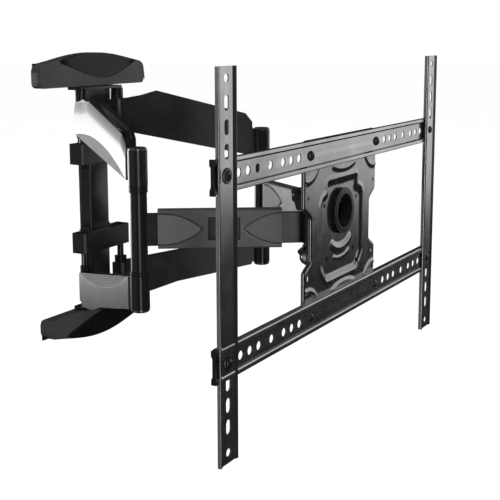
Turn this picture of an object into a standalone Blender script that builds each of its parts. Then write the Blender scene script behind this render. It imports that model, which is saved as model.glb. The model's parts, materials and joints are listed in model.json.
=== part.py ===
"""Full motion TV wall mount: wall plate, two pairs of folding arms, tilting head and VESA frame.

Metres, +Z up, +X right as seen from the room, the wall is the plane Y = 0 and the room is at -Y.
The origin is the middle of the wall plate's back face, level with the middle of the front arms.
"""
import math

import bmesh
import bpy
from mathutils import Matrix, Vector

MM = 0.001
GAP = 0.3 * MM                     # running gap between neighbouring pieces
ROUND = 24                         # sides of a turned piece
SMALL_ROUND = 12                   # sides of a bolt or a hole

# Arm linkage, seen from above
PIN_X = 41 * MM                    # wall pins and head pins, either side of the middle
PIN_Y = -26 * MM                   # wall pins in front of the wall
ARM = 217 * MM                     # pin to pin length of every arm
FOLD = math.radians(57)            # angle of the rear arms to the wall at rest
ELBOW_X = PIN_X + ARM * math.cos(FOLD)
ELBOW_Y = PIN_Y - ARM * math.sin(FOLD)
HEAD_Y = PIN_Y - 2 * ARM * math.sin(FOLD)
FRAME_Y = HEAD_Y - 35.5 * MM       # front faces of the VESA brackets

# Wall plate
PLATE_THICK = 3 * MM
PLATE_HALF = 21 * MM               # half width between the wall bars
BAR_HALF = 114 * MM                # half width of the wall bars
TOP_BAR = (173 * MM, 205 * MM)
BOTTOM_BAR = (-188 * MM, -159 * MM)
COLUMN_HALF = 21.5 * MM
COLUMN_DEPTH = 22.5 * MM
SHEET = 2.5 * MM
UPPER_LUG = (60 * MM, 90 * MM)
LOWER_LUG = (-70 * MM, -40 * MM)
LUG_HALF = 54 * MM
LUG_BACK = -11.5 * MM
LUG_FRONT = -35.5 * MM
LAG_SLOT = (22 * MM, 8.5 * MM)     # length and width of the slots for the wall screws
COVER_HALF = 120 * MM
COVER_CORNERS = (11 * MM, 7.7 * MM)              # radius at the outer and the inner corners
COVER_WALL = 2 * MM
COVER_FACE = 3.4 * MM
ARCH_POWER = 1.3                   # how square the shoulders of the arch are
INLAY_X = (-84 * MM, 104 * MM, 22 * MM)          # ends and lowest point of the smooth inlay
INLAY_DEEP = 1.2 * MM
COVER_FRONT = -19.5 * MM
TOP_COVER = (171 * MM, 204 * MM, 219 * MM)       # inner edge, height at the ends, height of the arch
BOTTOM_COVER = (-157 * MM, -184 * MM, -203 * MM)

# Hinge parts
BARREL_R = 9.5 * MM
WALL_PIN_R = 5 * MM
SLEEVE_R = 12.5 * MM
ELBOW_PIN_R = 7 * MM
FRONT_SLEEVE_R = 11 * MM
UPPER_BARREL = (98 * MM, 166 * MM)
LOWER_BARREL = (-152 * MM, -90 * MM)
UPPER_SLEEVE = (57 * MM, 101 * MM)
LOWER_SLEEVE = (-102 * MM, -58 * MM)
FRONT_SLEEVE = (-53 * MM, 48 * MM)
PIN_CAP = 4 * MM

# Arms
REAR_ARM_W = (-4 * MM, 9.5 * MM)    # inner and outer side of the rear arms
HEEL = 12 * MM                     # reach of the rear arms' inner corner behind the wall pins
ARM_WALL = 2.5 * MM
COVER_SKIN = 2.6 * MM
# Side views of the rear arms, (distance from the wall pin, height)
UPPER_ARM = ((4, 103), (208, 62), (208, 100), (203, 100), (203, 114), (193, 127), (59, 162), (35, 155),
             (16, 151), (4, 150))
LOWER_ARM = ((4, -150), (47, -145), (87, -131), (144, -119), (182, -110), (201, -106), (203, -102),
             (208, -101), (208, -61), (4, -99))
UPPER_ARM_COVER = ((1, 104), (206.5, 63.3), (206.5, 101), (200, 106), (190, 115), (59, 149), (35, 143),
                   (16, 139), (1, 138))
LOWER_ARM_COVER = ((1, -141), (47, -136), (87, -129), (144, -117.5), (206.5, -104), (206.5, -62), (1, -99))
FRONT_ARM_Z = (-20 * MM, 23 * MM)
FRONT_ARM_THICK = 10 * MM
FRONT_COVER_Z = (-23.5 * MM, 26.5 * MM)
FRONT_COVER_THICK = 18 * MM
FRONT_COVER_S = (24 * MM, 181 * MM)
FRONT_WINDOW_S = (87 * MM, 128 * MM)
FRONT_WINDOW_Z = (-13 * MM, 17 * MM)

# Head, depths measured back from the bracket fronts
HEAD_BARREL_R = 9 * MM
HEAD_BARREL = (-20 * MM, 22 * MM)
YOKE_Z = 22.4 * MM                 # inner faces of the yoke plates
YOKE_THICK = 3 * MM
KING_R = 5 * MM
TILT_AXIS = (27 * MM, -33 * MM)    # depth and height of the tilt pivot
TILT_LOCK = (39 * MM, 46 * MM)     # depth and height of the tilt lock bolt
TILT_RANGE = (-2, 8)               # degrees, top edge back and top edge forward
CHEEK_X = (61 * MM, 65 * MM)
TILT_CHEEK_X = (65.4 * MM, 68.4 * MM)
TILT_PLATE = (13.7 * MM, 16.2 * MM)
VESA_PLATE = (8.9 * MM, 11.2 * MM)
VESA_PANEL = (11.1 * MM, 13.4 * MM)              # pressed-back middle of the VESA plate
VESA_FLANGE = 13.4 * MM
RING_Z = 19 * MM
RING_FRONT = 4.8 * MM
RING_R = (22 * MM, 26 * MM, 30 * MM)             # bore, body and lip

# VESA frame
RAIL_Z = 100 * MM
RAIL_BOLT_X = 100 * MM             # bolts that hold the rails to the VESA plate
RAIL_HALF = 320 * MM
RAIL_HEIGHT = 36 * MM
RAIL_RIM = 2.7 * MM
RAIL_BACK = 8.6 * MM
RAIL_HOLES = (130, 150, 170, 200, 230, 250, 270)
RAIL_HOLE_R = 5.2 * MM
BRACKET_X = 300 * MM
BRACKET_HALF = 212 * MM
BRACKET_WIDTH = 37 * MM
BRACKET_FLANGE = 4.5 * MM
BRACKET_SINK = 0.9 * MM            # web behind the rims
BRACKET_HOLES = (200, 175, 150, 125, -123, -147, -171, -200)
BRACKET_SLOT = (16.6 * MM, 8.8 * MM)   # length and width of the screw slots
BRACKET_HOLE_R = 4.6 * MM
BOLT_R = 3 * MM                    # shank of every bolt in the head and the frame
BOLT_HOLE_R = BOLT_R + GAP


def clear_scene():
    for thing in list(bpy.data.objects):
        bpy.data.objects.remove(thing, do_unlink=True)


def finish(name, colour, roughness, metallic):
    material = bpy.data.materials.new(name)
    material.use_nodes = True
    shader = material.node_tree.nodes["Principled BSDF"]
    shader.inputs["Base Color"].default_value = (*colour, 1.0)
    shader.inputs["Roughness"].default_value = roughness
    shader.inputs["Metallic"].default_value = metallic
    return material


def world_place(thing):
    """Nothing here is rotated, so places add up along the parents."""
    place = thing.location.copy()
    if thing.parent is not None:
        place += world_place(thing.parent)
    return place


def joint(name, place, members, parent=None):
    """Empty on a joint's axis, which its moving pieces ride on."""
    pivot = bpy.data.objects.new(name, None)
    bpy.context.collection.objects.link(pivot)
    pivot.location = place
    if parent is not None:
        adopt(parent, [pivot])
    adopt(pivot, [bpy.data.objects[member] for member in members])
    return pivot


def adopt(parent, things):
    for thing in things:
        thing.location -= world_place(parent)
        thing.parent = parent


def from_bmesh(name, bm, origin, material=None):
    """Closes off a bmesh as an object whose own origin is at the given place."""
    bmesh.ops.recalc_face_normals(bm, faces=bm.faces)
    bmesh.ops.translate(bm, vec=-origin, verts=bm.verts)
    mesh = bpy.data.meshes.new(name)
    bm.to_mesh(mesh)
    bm.free()
    mesh.shade_smooth()
    mesh.set_sharp_from_angle(angle=math.radians(35))
    if material is not None:
        mesh.materials.append(material)
    thing = bpy.data.objects.new(name, mesh)
    bpy.context.collection.objects.link(thing)
    thing.location = origin
    return thing


def arc(centre, radius, start, stop, steps):
    """Points on an arc, angles in degrees."""
    points = []
    for i in range(steps + 1):
        a = math.radians(start + (stop - start) * i / steps)
        points.append((centre[0] + radius * math.cos(a), centre[1] + radius * math.sin(a)))
    return points


def circle(centre, radius, sides=SMALL_ROUND):
    return arc(centre, radius, 0, 360, sides)[:-1]


def slot(centre, length, width, upright=False, steps=8):
    """Outline of a slot with round ends."""
    r = width / 2
    run = length / 2 - r
    x, y = centre
    if upright:
        return arc((x, y + run), r, 0, 180, steps) + arc((x, y - run), r, 180, 360, steps)
    return arc((x + run, y), r, -90, 90, steps) + arc((x - run, y), r, 90, 270, steps)


def rectangle(x0, y0, x1, y1, radius=0.0, steps=4):
    if radius == 0:
        return [(x0, y0), (x1, y0), (x1, y1), (x0, y1)]
    r = radius
    return (arc((x1 - r, y0 + r), r, -90, 0, steps) + arc((x1 - r, y1 - r), r, 0, 90, steps)
            + arc((x0 + r, y1 - r), r, 90, 180, steps) + arc((x0 + r, y0 + r), r, 180, 270, steps))


def inset(outline, distance):
    """Moves each point of an anticlockwise outline inwards."""
    count = len(outline)
    moved = []
    for i, point in enumerate(outline):
        here = Vector(point)
        before = (here - Vector(outline[i - 1])).normalized()
        after = (Vector(outline[(i + 1) % count]) - here).normalized()
        normal = Vector((-before.y, before.x)) + Vector((-after.y, after.x))
        normal /= max(normal.length_squared / 2, 0.5)
        moved.append(tuple(here + normal * distance))
    return moved


def dedupe(outline):
    """Drops points that fall on their neighbour."""
    kept = []
    for i, point in enumerate(outline):
        if (Vector(point) - Vector(outline[i - 1])).length > 0.05 * MM:
            kept.append(point)
    return kept


def clip(outline, low, high):
    """The part of an outline whose first coordinate lies between low and high."""
    for limit, sign in ((low, 1), (high, -1)):
        kept = []
        for i, point in enumerate(outline):
            before = outline[i - 1]
            inside = sign * (point[0] - limit) >= 0
            if inside != (sign * (before[0] - limit) >= 0):
                t = (limit - before[0]) / (point[0] - before[0])
                kept.append((limit, before[1] + (point[1] - before[1]) * t))
            if inside:
                kept.append(point)
        outline = kept
    return dedupe(outline)


def prism(name, outline, low, high, frame, holes=(), material=None):
    """A flat outline with holes, extruded from low to high along the frame's third axis."""
    bm = bmesh.new()
    edges = []
    for loop in (outline, *holes):
        verts = [bm.verts.new(frame @ Vector((u, v, low))) for u, v in loop]
        for i, vert in enumerate(verts):
            edges.append(bm.edges.new((vert, verts[(i + 1) % len(verts)])))
    if holes:
        bmesh.ops.triangle_fill(bm, use_beauty=True, use_dissolve=False, edges=edges)
    else:
        bm.faces.new(bm.verts[:])
    step = (frame.to_3x3() @ Vector((0, 0, 1))) * (high - low)
    grown = bmesh.ops.extrude_face_region(bm, geom=bm.faces[:])
    bmesh.ops.translate(bm, vec=step, verts=[v for v in grown["geom"] if isinstance(v, bmesh.types.BMVert)])
    return from_bmesh(name, bm, frame.translation, material)


def turned(name, centre, profile, sides, frame, material=None):
    """A profile of (radius, height) points, turned about the frame's third axis through centre."""
    bm = bmesh.new()
    rings = []
    for radius, height in profile:
        ring = []
        for i in range(sides):
            a = 2 * math.pi * i / sides
            spot = Vector((centre[0] + radius * math.cos(a), centre[1] + radius * math.sin(a), height))
            ring.append(bm.verts.new(frame @ spot))
        rings.append(ring)
    for lower, upper in zip(rings, rings[1:]):
        for i in range(sides):
            j = (i + 1) % sides
            bm.faces.new((lower[i], lower[j], upper[j], upper[i]))
    bm.faces.new(rings[0])
    bm.faces.new(rings[-1])
    return from_bmesh(name, bm, frame @ Vector((*centre, 0)), material)


def pillar(name, centre, radius, low, high, frame, sides=ROUND, material=None):
    return turned(name, centre, [(radius, low), (radius, high)], sides, frame, material)


def tube(name, centre, inner, outer, low, high, frame, sides=ROUND, material=None):
    holes = [circle(centre, inner, sides)]
    return prism(name, circle(centre, outer, sides), low, high, frame, holes, material)


def combine(base, operation, tools):
    """Adds or cuts each tool, and leaves the tools out of the model."""
    for number, tool in enumerate(tools):
        step = base.modifiers.new(f"{operation.lower()}_{number}", "BOOLEAN")
        step.operation = operation
        step.object = tool
        tool.hide_render = True
        tool.display_type = "WIRE"
        tool.name = f"guide_{base.name}_{operation.lower()}_{number}"
    return base


# Frames: (u, v, w) to world. FLAT lies in XY, WALL_VIEW stands in XZ with w running into the wall.
FLAT = Matrix.Identity(4)
WALL_VIEW = Matrix(((1, 0, 0, 0), (0, 0, 1, 0), (0, 1, 0, 0), (0, 0, 0, 1)))
SIDE_VIEW = Matrix(((0, 0, 1, 0), (1, 0, 0, 0), (0, 1, 0, 0), (0, 0, 0, 1)))
HEAD_VIEW = Matrix.Translation((0, FRAME_Y, 0)) @ WALL_VIEW
HEAD_SIDE = Matrix.Translation((0, FRAME_Y, 0)) @ SIDE_VIEW
HEAD_FLAT = Matrix.Translation((0, FRAME_Y, 0)) @ FLAT


def arm_frame(start, end, side):
    """u along the arm from start to end, v up, w towards the outer side of the arm."""
    along = Vector((end[0] - start[0], end[1] - start[1], 0)).normalized()
    out = Vector((side, 0, 0))
    out = (out - along * out.dot(along)).normalized()
    matrix = Matrix((along, Vector((0, 0, 1)), out)).transposed().to_4x4()
    return Matrix.Translation((start[0], start[1], 0)) @ matrix


def wall_plate(steel):
    """One pressed sheet: an upright strip with a bar across each end."""
    w, b = PLATE_HALF, BAR_HALF
    r = 6 * MM
    right = [(b, BOTTOM_BAR[0]), (b, BOTTOM_BAR[1]), (w + r, BOTTOM_BAR[1]), (w, BOTTOM_BAR[1] + r),
             (w, TOP_BAR[0] - r), (w + r, TOP_BAR[0]), (b, TOP_BAR[0]), (b, TOP_BAR[1])]
    outline = right + [(-x, z) for x, z in reversed(right)]
    holes = [slot((x, z), *LAG_SLOT) for x in (-92 * MM, 92 * MM)
             for z in (sum(TOP_BAR) / 2, sum(BOTTOM_BAR) / 2)]
    holes.append(rectangle(-17 * MM, -97 * MM, 17 * MM, -84 * MM, 2 * MM))
    prism("wall_plate", outline, -PLATE_THICK, 0, WALL_VIEW, holes, steel)


def wall_column(steel):
    """Channel with its web to the room, and a tab at each end that holds the outer ends of the pins."""
    half, front, back = COLUMN_HALF, -COLUMN_DEPTH, -PLATE_THICK - GAP
    t = SHEET
    outside = [(-half, back), (-half, front + t), (-half + t, front)]
    outside += [(-x, y) for x, y in reversed(outside)]
    inside = [(half - t, back), (half - t, front + t), (-half + t, front + t), (-half + t, back)]
    low = LOWER_BARREL[0] - GAP - 4 * MM
    high = UPPER_BARREL[1] + GAP + 4 * MM
    column = prism("wall_column", outside + inside, low, high, FLAT, material=steel)
    tabs = []
    reach = PIN_X + WALL_PIN_R + 2.5 * MM
    outline = rectangle(-reach, PIN_Y - WALL_PIN_R - 2.5 * MM, reach, back, 6 * MM)
    pins = [circle((x, PIN_Y), WALL_PIN_R + GAP / 2) for x in (-PIN_X, PIN_X)]
    for name, z in (("low", low), ("high", high - 4 * MM)):
        tabs.append(prism(f"tab_{name}", outline, z, z + 4 * MM, FLAT, pins))
    combine(column, "UNION", tabs)
    windows = [lug_clearance("window_low", LOWER_LUG), lug_clearance("window_high", UPPER_LUG)]
    return combine(column, "DIFFERENCE", windows)


def lug_clearance(name, span):
    """Room in the column for a hinge bracket that passes in front of its web."""
    outline = rectangle(-LUG_HALF, -60 * MM, LUG_HALF, -COLUMN_DEPTH + 1 * MM)
    return prism(name, outline, span[0] - GAP, span[1] + GAP, FLAT)


def hinge_bracket(name, span, steel):
    """Folded box, open to the wall, with a hole for each wall pin."""
    low, high = span
    back = LUG_BACK
    side_front = -COLUMN_DEPTH + 1 * MM - GAP
    t = SHEET
    shell = [(-LUG_HALF, back), (-LUG_HALF, LUG_FRONT + 3 * MM), (-LUG_HALF + 3 * MM, LUG_FRONT),
             (LUG_HALF - 3 * MM, LUG_FRONT), (LUG_HALF, LUG_FRONT + 3 * MM), (LUG_HALF, back),
             (COLUMN_HALF + GAP, back), (COLUMN_HALF + GAP, side_front),
             (-COLUMN_HALF - GAP, side_front), (-COLUMN_HALF - GAP, back)]
    box = prism(name, shell, low, high, FLAT, material=steel)
    hollows = []
    for side in (-1, 1):
        inner = sorted((side * (COLUMN_HALF + t + GAP), side * (LUG_HALF - t)))
        outline = rectangle(inner[0], LUG_FRONT + t, inner[1], back + 1 * MM)
        hollows.append(prism("hollow", outline, low + 4 * MM, high - 4 * MM, FLAT))
        hollows.append(pillar("bore", (side * PIN_X, PIN_Y), WALL_PIN_R + GAP, low - MM, high + MM, FLAT,
                              SMALL_ROUND))
    return combine(box, "DIFFERENCE", hollows)


def wall_pin(name, x, span, steel):
    low, high = span
    r = WALL_PIN_R
    profile = [(r - 1 * MM, low), (r, low + 1 * MM), (r, high - 1 * MM), (r - 1 * MM, high)]
    turned(name, (x, PIN_Y), profile, SMALL_ROUND, FLAT, steel)


def evenly(start, stop, steps):
    return [start + (stop - start) * i / steps for i in range(steps + 1)]


def arch_height(x, span):
    """Height of a wall cover's arched outer edge."""
    end, arch = span[1:]
    return end + (arch - end) * math.cos(math.pi * x / (2 * COVER_HALF)) ** ARCH_POWER


def cover_outline(span):
    """Long cover with round ends, straight inner edge and arched outer edge, anticlockwise."""
    inner, end, arch = span
    sign = 1 if arch > inner else -1
    outer_r, inner_r = COVER_CORNERS
    run = COVER_HALF - outer_r
    top = [(x, arch_height(x, span)) for x in evenly(run, -run, 16)]
    left = arc((outer_r - COVER_HALF, abs(end - inner) - outer_r), outer_r, 90, 180, 5)[1:]
    left += arc((inner_r - COVER_HALF, inner_r), inner_r, 180, 270, 4)
    left = [(x, inner + sign * rise) for x, rise in left]
    outline = top + left + [(-x, z) for x, z in reversed(left)]
    return outline if sign > 0 else outline[::-1]


def inlay_outline(span):
    """The smooth arched panel in the middle of a wall cover: a leaf under the arch."""
    inner, end, arch = span
    left, right, low_x = INLAY_X
    rim = []
    keel = []
    for x in evenly(right, left, 14):
        reach = right - low_x if x > low_x else low_x - left
        dip = max(0.0, math.cos(math.pi * (x - low_x) / (2 * reach))) ** 1.4
        rim.append((x, arch_height(x, span)))
        keel.append((x, end + (arch - end) * 0.05 + (inner - end) * 0.72 * dip))
    tip = (left, (rim[-1][1] + keel[-1][1]) / 2)
    outline = rim[:-1] + [tip] + keel[1:-1][::-1]
    if arch < inner:
        outline = outline[::-1]
    return inset(outline, 0.8 * MM)


def wall_cover(name, span, plastic, dark):
    """Hollow plastic cover over a wall bar, with a recess for the smooth inlay."""
    outline = cover_outline(span)
    back = -PLATE_THICK - GAP
    cover = prism(f"{name}_cover", outline, COVER_FRONT, back, WALL_VIEW, material=plastic)
    hollow = prism("hollow", inset(outline, COVER_WALL), COVER_FRONT + COVER_FACE, 1 * MM, WALL_VIEW)
    panel = inlay_outline(span)
    floor = COVER_FRONT + INLAY_DEEP
    recess = prism("recess", inset(panel, -GAP), COVER_FRONT - 1 * MM, floor, WALL_VIEW)
    combine(cover, "DIFFERENCE", [hollow, recess])
    prism(f"{name}_cover_inlay", panel, COVER_FRONT, floor - GAP, WALL_VIEW, material=dark)


def scaled(points):
    return [(u * MM, v * MM) for u, v in points]


def rear_arm(name, side, upper, steel, plastic):
    """Box of folded steel with a hinge barrel at the wall, a sleeve at the elbow and a cover outside."""
    frame = arm_frame((side * PIN_X, PIN_Y), (side * ELBOW_X, ELBOW_Y), side)
    if upper:
        outline, cover_line = scaled(UPPER_ARM), scaled(UPPER_ARM_COVER)
        barrel, sleeve = UPPER_BARREL, UPPER_SLEEVE
    else:
        outline, cover_line = scaled(LOWER_ARM), scaled(LOWER_ARM_COVER)
        barrel, sleeve = LOWER_BARREL, LOWER_SLEEVE
    low, high = REAR_ARM_W
    arm = prism(name, outline, low, high, frame, material=steel)
    near = clip(outline, 0, 6 * MM)
    base, top = min(v for u, v in near), max(v for u, v in near)
    heel = rectangle(-HEEL, base + 1 * MM, 6 * MM, top - 1 * MM)
    combine(arm, "UNION", [
        prism("heel", heel, -BARREL_R + 0.2 * MM, 0, frame),
        pillar("barrel", (side * PIN_X, PIN_Y), BARREL_R, *barrel, FLAT),
        pillar("sleeve", (side * ELBOW_X, ELBOW_Y), SLEEVE_R, *sleeve, FLAT),
    ])
    panel = clip(inset(cover_line, 1 * MM), BARREL_R + 1 * MM, ARM - SLEEVE_R - 4 * MM)
    combine(arm, "DIFFERENCE", [
        prism("pocket", inset(panel, ARM_WALL), low + ARM_WALL, high + 1 * MM, frame),
        pillar("wall_bore", (side * PIN_X, PIN_Y), WALL_PIN_R + GAP, barrel[0] - MM, barrel[1] + MM, FLAT,
               SMALL_ROUND),
        pillar("elbow_bore", (side * ELBOW_X, ELBOW_Y), ELBOW_PIN_R + GAP, sleeve[0] - MM, sleeve[1] + MM,
               FLAT, SMALL_ROUND),
    ])
    prism(f"{name}_cover", cover_line, high + GAP, high + GAP + COVER_SKIN, frame, material=plastic)


def elbow_pin(name, side, steel):
    """Pin through both rear arm sleeves and the front arm sleeve, with a flat cap at each end."""
    low, high = LOWER_SLEEVE[0] - GAP, UPPER_SLEEVE[1] + GAP
    r, cap = ELBOW_PIN_R, SLEEVE_R - 0.5 * MM
    profile = [(cap - 2 * MM, low - PIN_CAP), (cap, low - PIN_CAP + 1.5 * MM), (cap, low), (r, low),
               (r, high), (cap, high), (cap, high + PIN_CAP - 1.5 * MM), (cap - 2 * MM, high + PIN_CAP)]
    turned(name, (side * ELBOW_X, ELBOW_Y), profile, ROUND, FLAT, steel)


def elbow_bushes(side, word, plastic):
    place = (side * ELBOW_X, ELBOW_Y)
    spans = (("upper", FRONT_SLEEVE[1] + GAP, UPPER_SLEEVE[0] - GAP),
             ("lower", LOWER_SLEEVE[1] + GAP, FRONT_SLEEVE[0] - GAP))
    for level, low, high in spans:
        tube(f"{word}_elbow_{level}_bush", place, ELBOW_PIN_R + GAP, SLEEVE_R - 0.3 * MM, low, high, FLAT,
             material=plastic)


def front_arm(name, side, steel, plastic):
    """Arm from elbow to head: sleeve, flat bar and head barrel, inside a plastic sleeve cover."""
    elbow, head = (side * ELBOW_X, ELBOW_Y), (side * PIN_X, HEAD_Y)
    frame = arm_frame(elbow, head, side)
    half = FRONT_ARM_THICK / 2
    low, high = FRONT_ARM_Z
    near, far = 6 * MM, ARM - 5 * MM
    outline = [(near, low), (far, HEAD_BARREL[0] + 2 * MM), (far, HEAD_BARREL[1] - 1 * MM), (near, high - 2 * MM)]
    arm = prism(name, outline, -half, half, frame, material=steel)
    combine(arm, "UNION", [
        pillar("sleeve", elbow, FRONT_SLEEVE_R, *FRONT_SLEEVE, FLAT),
        pillar("barrel", head, HEAD_BARREL_R, *HEAD_BARREL, FLAT),
    ])
    combine(arm, "DIFFERENCE", [
        pillar("elbow_bore", elbow, ELBOW_PIN_R + GAP, FRONT_SLEEVE[0] - MM, FRONT_SLEEVE[1] + MM, FLAT,
               SMALL_ROUND),
        pillar("head_bore", head, WALL_PIN_R + GAP, HEAD_BARREL[0] - MM, HEAD_BARREL[1] + MM, FLAT,
               SMALL_ROUND),
    ])
    s0, s1 = FRONT_COVER_S
    z0, z1 = FRONT_COVER_Z
    t = FRONT_COVER_THICK / 2
    cover_frame = frame @ Matrix(((0, 0, 1, 0), (0, 1, 0, 0), (1, 0, 0, 0), (0, 0, 0, 1)))
    cover = prism(f"{name}_cover", rectangle(-t, z0, t, z1, 3 * MM), s0, s1, cover_frame, material=plastic)
    combine(cover, "DIFFERENCE", [
        prism("bore", rectangle(-half - GAP, z0 + 2.4 * MM, half + GAP, z1 - 2.4 * MM), s0 - MM, s1 + MM,
              cover_frame),
        prism("window", rectangle(FRONT_WINDOW_S[0], FRONT_WINDOW_Z[0], FRONT_WINDOW_S[1],
                                  FRONT_WINDOW_Z[1], 2 * MM), 0, t + MM, frame),
    ])


def head_yoke(steel):
    """Two plates that hold both head pins, joined by the tube round the swivel pin."""
    reach = PIN_X + HEAD_BARREL_R
    y0, y1 = HEAD_Y - 9.5 * MM, HEAD_Y + 9 * MM
    outline = rectangle(-reach, y0, reach, y1, 8 * MM)
    holes = [circle((x, HEAD_Y), WALL_PIN_R + GAP) for x in (-PIN_X, PIN_X)]
    holes.append(circle((0, HEAD_Y), KING_R + GAP))
    top = prism("head_yoke", outline, YOKE_Z, YOKE_Z + YOKE_THICK, FLAT, holes, steel)
    bottom = prism("yoke_bottom", outline, -YOKE_Z - YOKE_THICK, -YOKE_Z, FLAT, holes)
    core = tube("yoke_core", (0, HEAD_Y), KING_R + GAP, 9 * MM, -YOKE_Z - 1 * MM, YOKE_Z + 1 * MM, FLAT)
    return combine(top, "UNION", [bottom, core])


def head_pin(name, x, steel):
    r = WALL_PIN_R
    span = YOKE_Z + YOKE_THICK
    profile = [(r - 0.8 * MM, -span + 0.2 * MM), (r, -span + 1 * MM), (r, span - 1 * MM),
               (r - 0.8 * MM, span - 0.2 * MM)]
    turned(name, (x, HEAD_Y), profile, SMALL_ROUND, FLAT, steel)


def swivel_pin(steel):
    z = YOKE_Z + 2 * YOKE_THICK + 2 * GAP
    r, head = KING_R, 8 * MM
    profile = [(head - 1.5 * MM, -z - 4 * MM), (head, -z - 2.5 * MM), (head, -z), (r, -z), (r, z), (head, z),
               (head, z + 2.5 * MM), (head - 1.5 * MM, z + 4 * MM)]
    turned("swivel_pin", (0, HEAD_Y), profile, SMALL_ROUND, FLAT, steel)


def swivel_bracket(steel):
    """C-shaped bracket round the yoke: turns on the swivel pin, with a cheek each side for the tilt bolts."""
    z0 = YOKE_Z + YOKE_THICK + GAP
    z1 = z0 + YOKE_THICK
    back = HEAD_Y + 19 * MM
    web = 9 * MM
    x = CHEEK_X[1]
    front = HEAD_Y - 7 * MM
    shoulder = HEAD_Y + 5 * MM
    outline = [(-x, front), (x, front), (x, shoulder), (web, back), (-web, back), (-x, shoulder)]
    hole = [circle((0, HEAD_Y), KING_R + GAP)]
    top = prism("swivel_bracket", outline, z0, z1, FLAT, hole, steel)
    pieces = [prism("bottom", outline, -z1, -z0, FLAT, hole),
              prism("web", rectangle(-web, back - 4 * MM, web, back), -z0 - 1 * MM, z0 + 1 * MM, FLAT)]
    axis, lock = TILT_AXIS, TILT_LOCK
    reach = math.dist(axis, lock)
    middle = math.degrees(math.atan2(lock[1] - axis[1], lock[0] - axis[0]))
    low, high = middle + TILT_RANGE[0] - 3, middle + TILT_RANGE[1] + 3
    fan = arc(axis, reach + 6.5 * MM, low - 2, high + 2, 6)
    upper = [(29 * MM, z0), (42 * MM, z0), *fan, (21.5 * MM, lock[1] - 8 * MM)]
    lower = [(40 * MM, -z0), (26 * MM, -z0), *arc(axis, 7.5 * MM, 160, 330, 8), (40 * MM, -z1)]
    lock_slot = arc(axis, reach + 3.4 * MM, low, high, 6) + arc(axis, reach - 3.4 * MM, high, low, 6)
    bores = []
    for side in (-1, 1):
        ends = sorted((side * CHEEK_X[0], side * CHEEK_X[1]))
        wide = (ends[0] - 2 * MM, ends[1] + 2 * MM)
        pieces.append(prism("upper_cheek", upper, *ends, HEAD_SIDE))
        pieces.append(prism("lower_cheek", lower, *ends, HEAD_SIDE))
        bores.append(pillar("pivot_bore", axis, BOLT_HOLE_R, *wide, HEAD_SIDE, SMALL_ROUND))
        bores.append(prism("lock_slot", lock_slot, *wide, HEAD_SIDE))
    combine(top, "UNION", pieces)
    return combine(top, "DIFFERENCE", bores)


def tilt_bracket(steel):
    """Plate behind the VESA plate, with a cheek each side that turns on the tilt pivots."""
    axis, lock = TILT_AXIS, TILT_LOCK
    outline = rectangle(-TILT_CHEEK_X[1], -62 * MM, TILT_CHEEK_X[1], 74 * MM, 4 * MM)
    hole = [circle((0, RING_Z), RING_R[1] + GAP, ROUND)]
    plate = prism("tilt_bracket", outline, TILT_PLATE[0], TILT_PLATE[1], HEAD_VIEW, hole, steel)
    start = TILT_PLATE[1] - 1 * MM
    cheek = [(start, -50 * MM), *arc(axis, 9 * MM, -80, 30, 6), (start + 3 * MM, -14 * MM),
             (start + 3 * MM, 26 * MM), (lock[0] - 9 * MM, lock[1] - 9 * MM),
             *rectangle(lock[0] - 9 * MM, lock[1] - 9 * MM, lock[0] + 8 * MM, lock[1] + 8 * MM, 3 * MM)[:10],
             (start, lock[1] + 14 * MM)]
    pieces = []
    bores = []
    for side in (-1, 1):
        ends = sorted((side * TILT_CHEEK_X[0], side * TILT_CHEEK_X[1]))
        wide = (ends[0] - 2 * MM, ends[1] + 2 * MM)
        pieces.append(prism("cheek", cheek, *ends, HEAD_SIDE))
        bores.append(pillar("pivot_bore", axis, BOLT_HOLE_R, *wide, HEAD_SIDE, SMALL_ROUND))
        bores.append(pillar("lock_bore", lock, BOLT_HOLE_R, *wide, HEAD_SIDE, SMALL_ROUND))
    combine(plate, "UNION", pieces)
    return combine(plate, "DIFFERENCE", bores)


def cross_bolt(name, side, place, head_r, length, steel):
    """Bolt across the cheeks with a domed head outside."""
    base = TILT_CHEEK_X[1] + GAP
    profile = [(BOLT_R, -length), (BOLT_R, 0), (head_r, 0), (head_r, 1.6 * MM), (head_r * 0.72, 3.2 * MM),
               (head_r * 0.3, 3.8 * MM)]
    frame = HEAD_SIDE @ Matrix.Translation((0, 0, side * base)) @ Matrix.Diagonal((1, 1, side, 1))
    turned(name, place, profile, SMALL_ROUND, frame, steel)


def vesa_outline():
    """Plate outline, anticlockwise: wide ears at the rails and a waist between them."""
    ear, waist, tall = 109 * MM, 90 * MM, 118 * MM
    steps = 6
    right = [(ear - 8 * MM, -tall), (ear, -tall + 8 * MM)]
    for z0, z1, x0, x1 in ((-46, -30, ear, waist), (19, 37, waist, ear)):
        for i in range(steps + 1):
            t = i / steps
            right.append((x0 + (x1 - x0) * (0.5 - 0.5 * math.cos(math.pi * t)), (z0 + (z1 - z0) * t) * MM))
    right += [(ear, tall - 8 * MM), (ear - 8 * MM, tall)]
    return right + [(-x, z) for x, z in reversed(right)]


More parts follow.
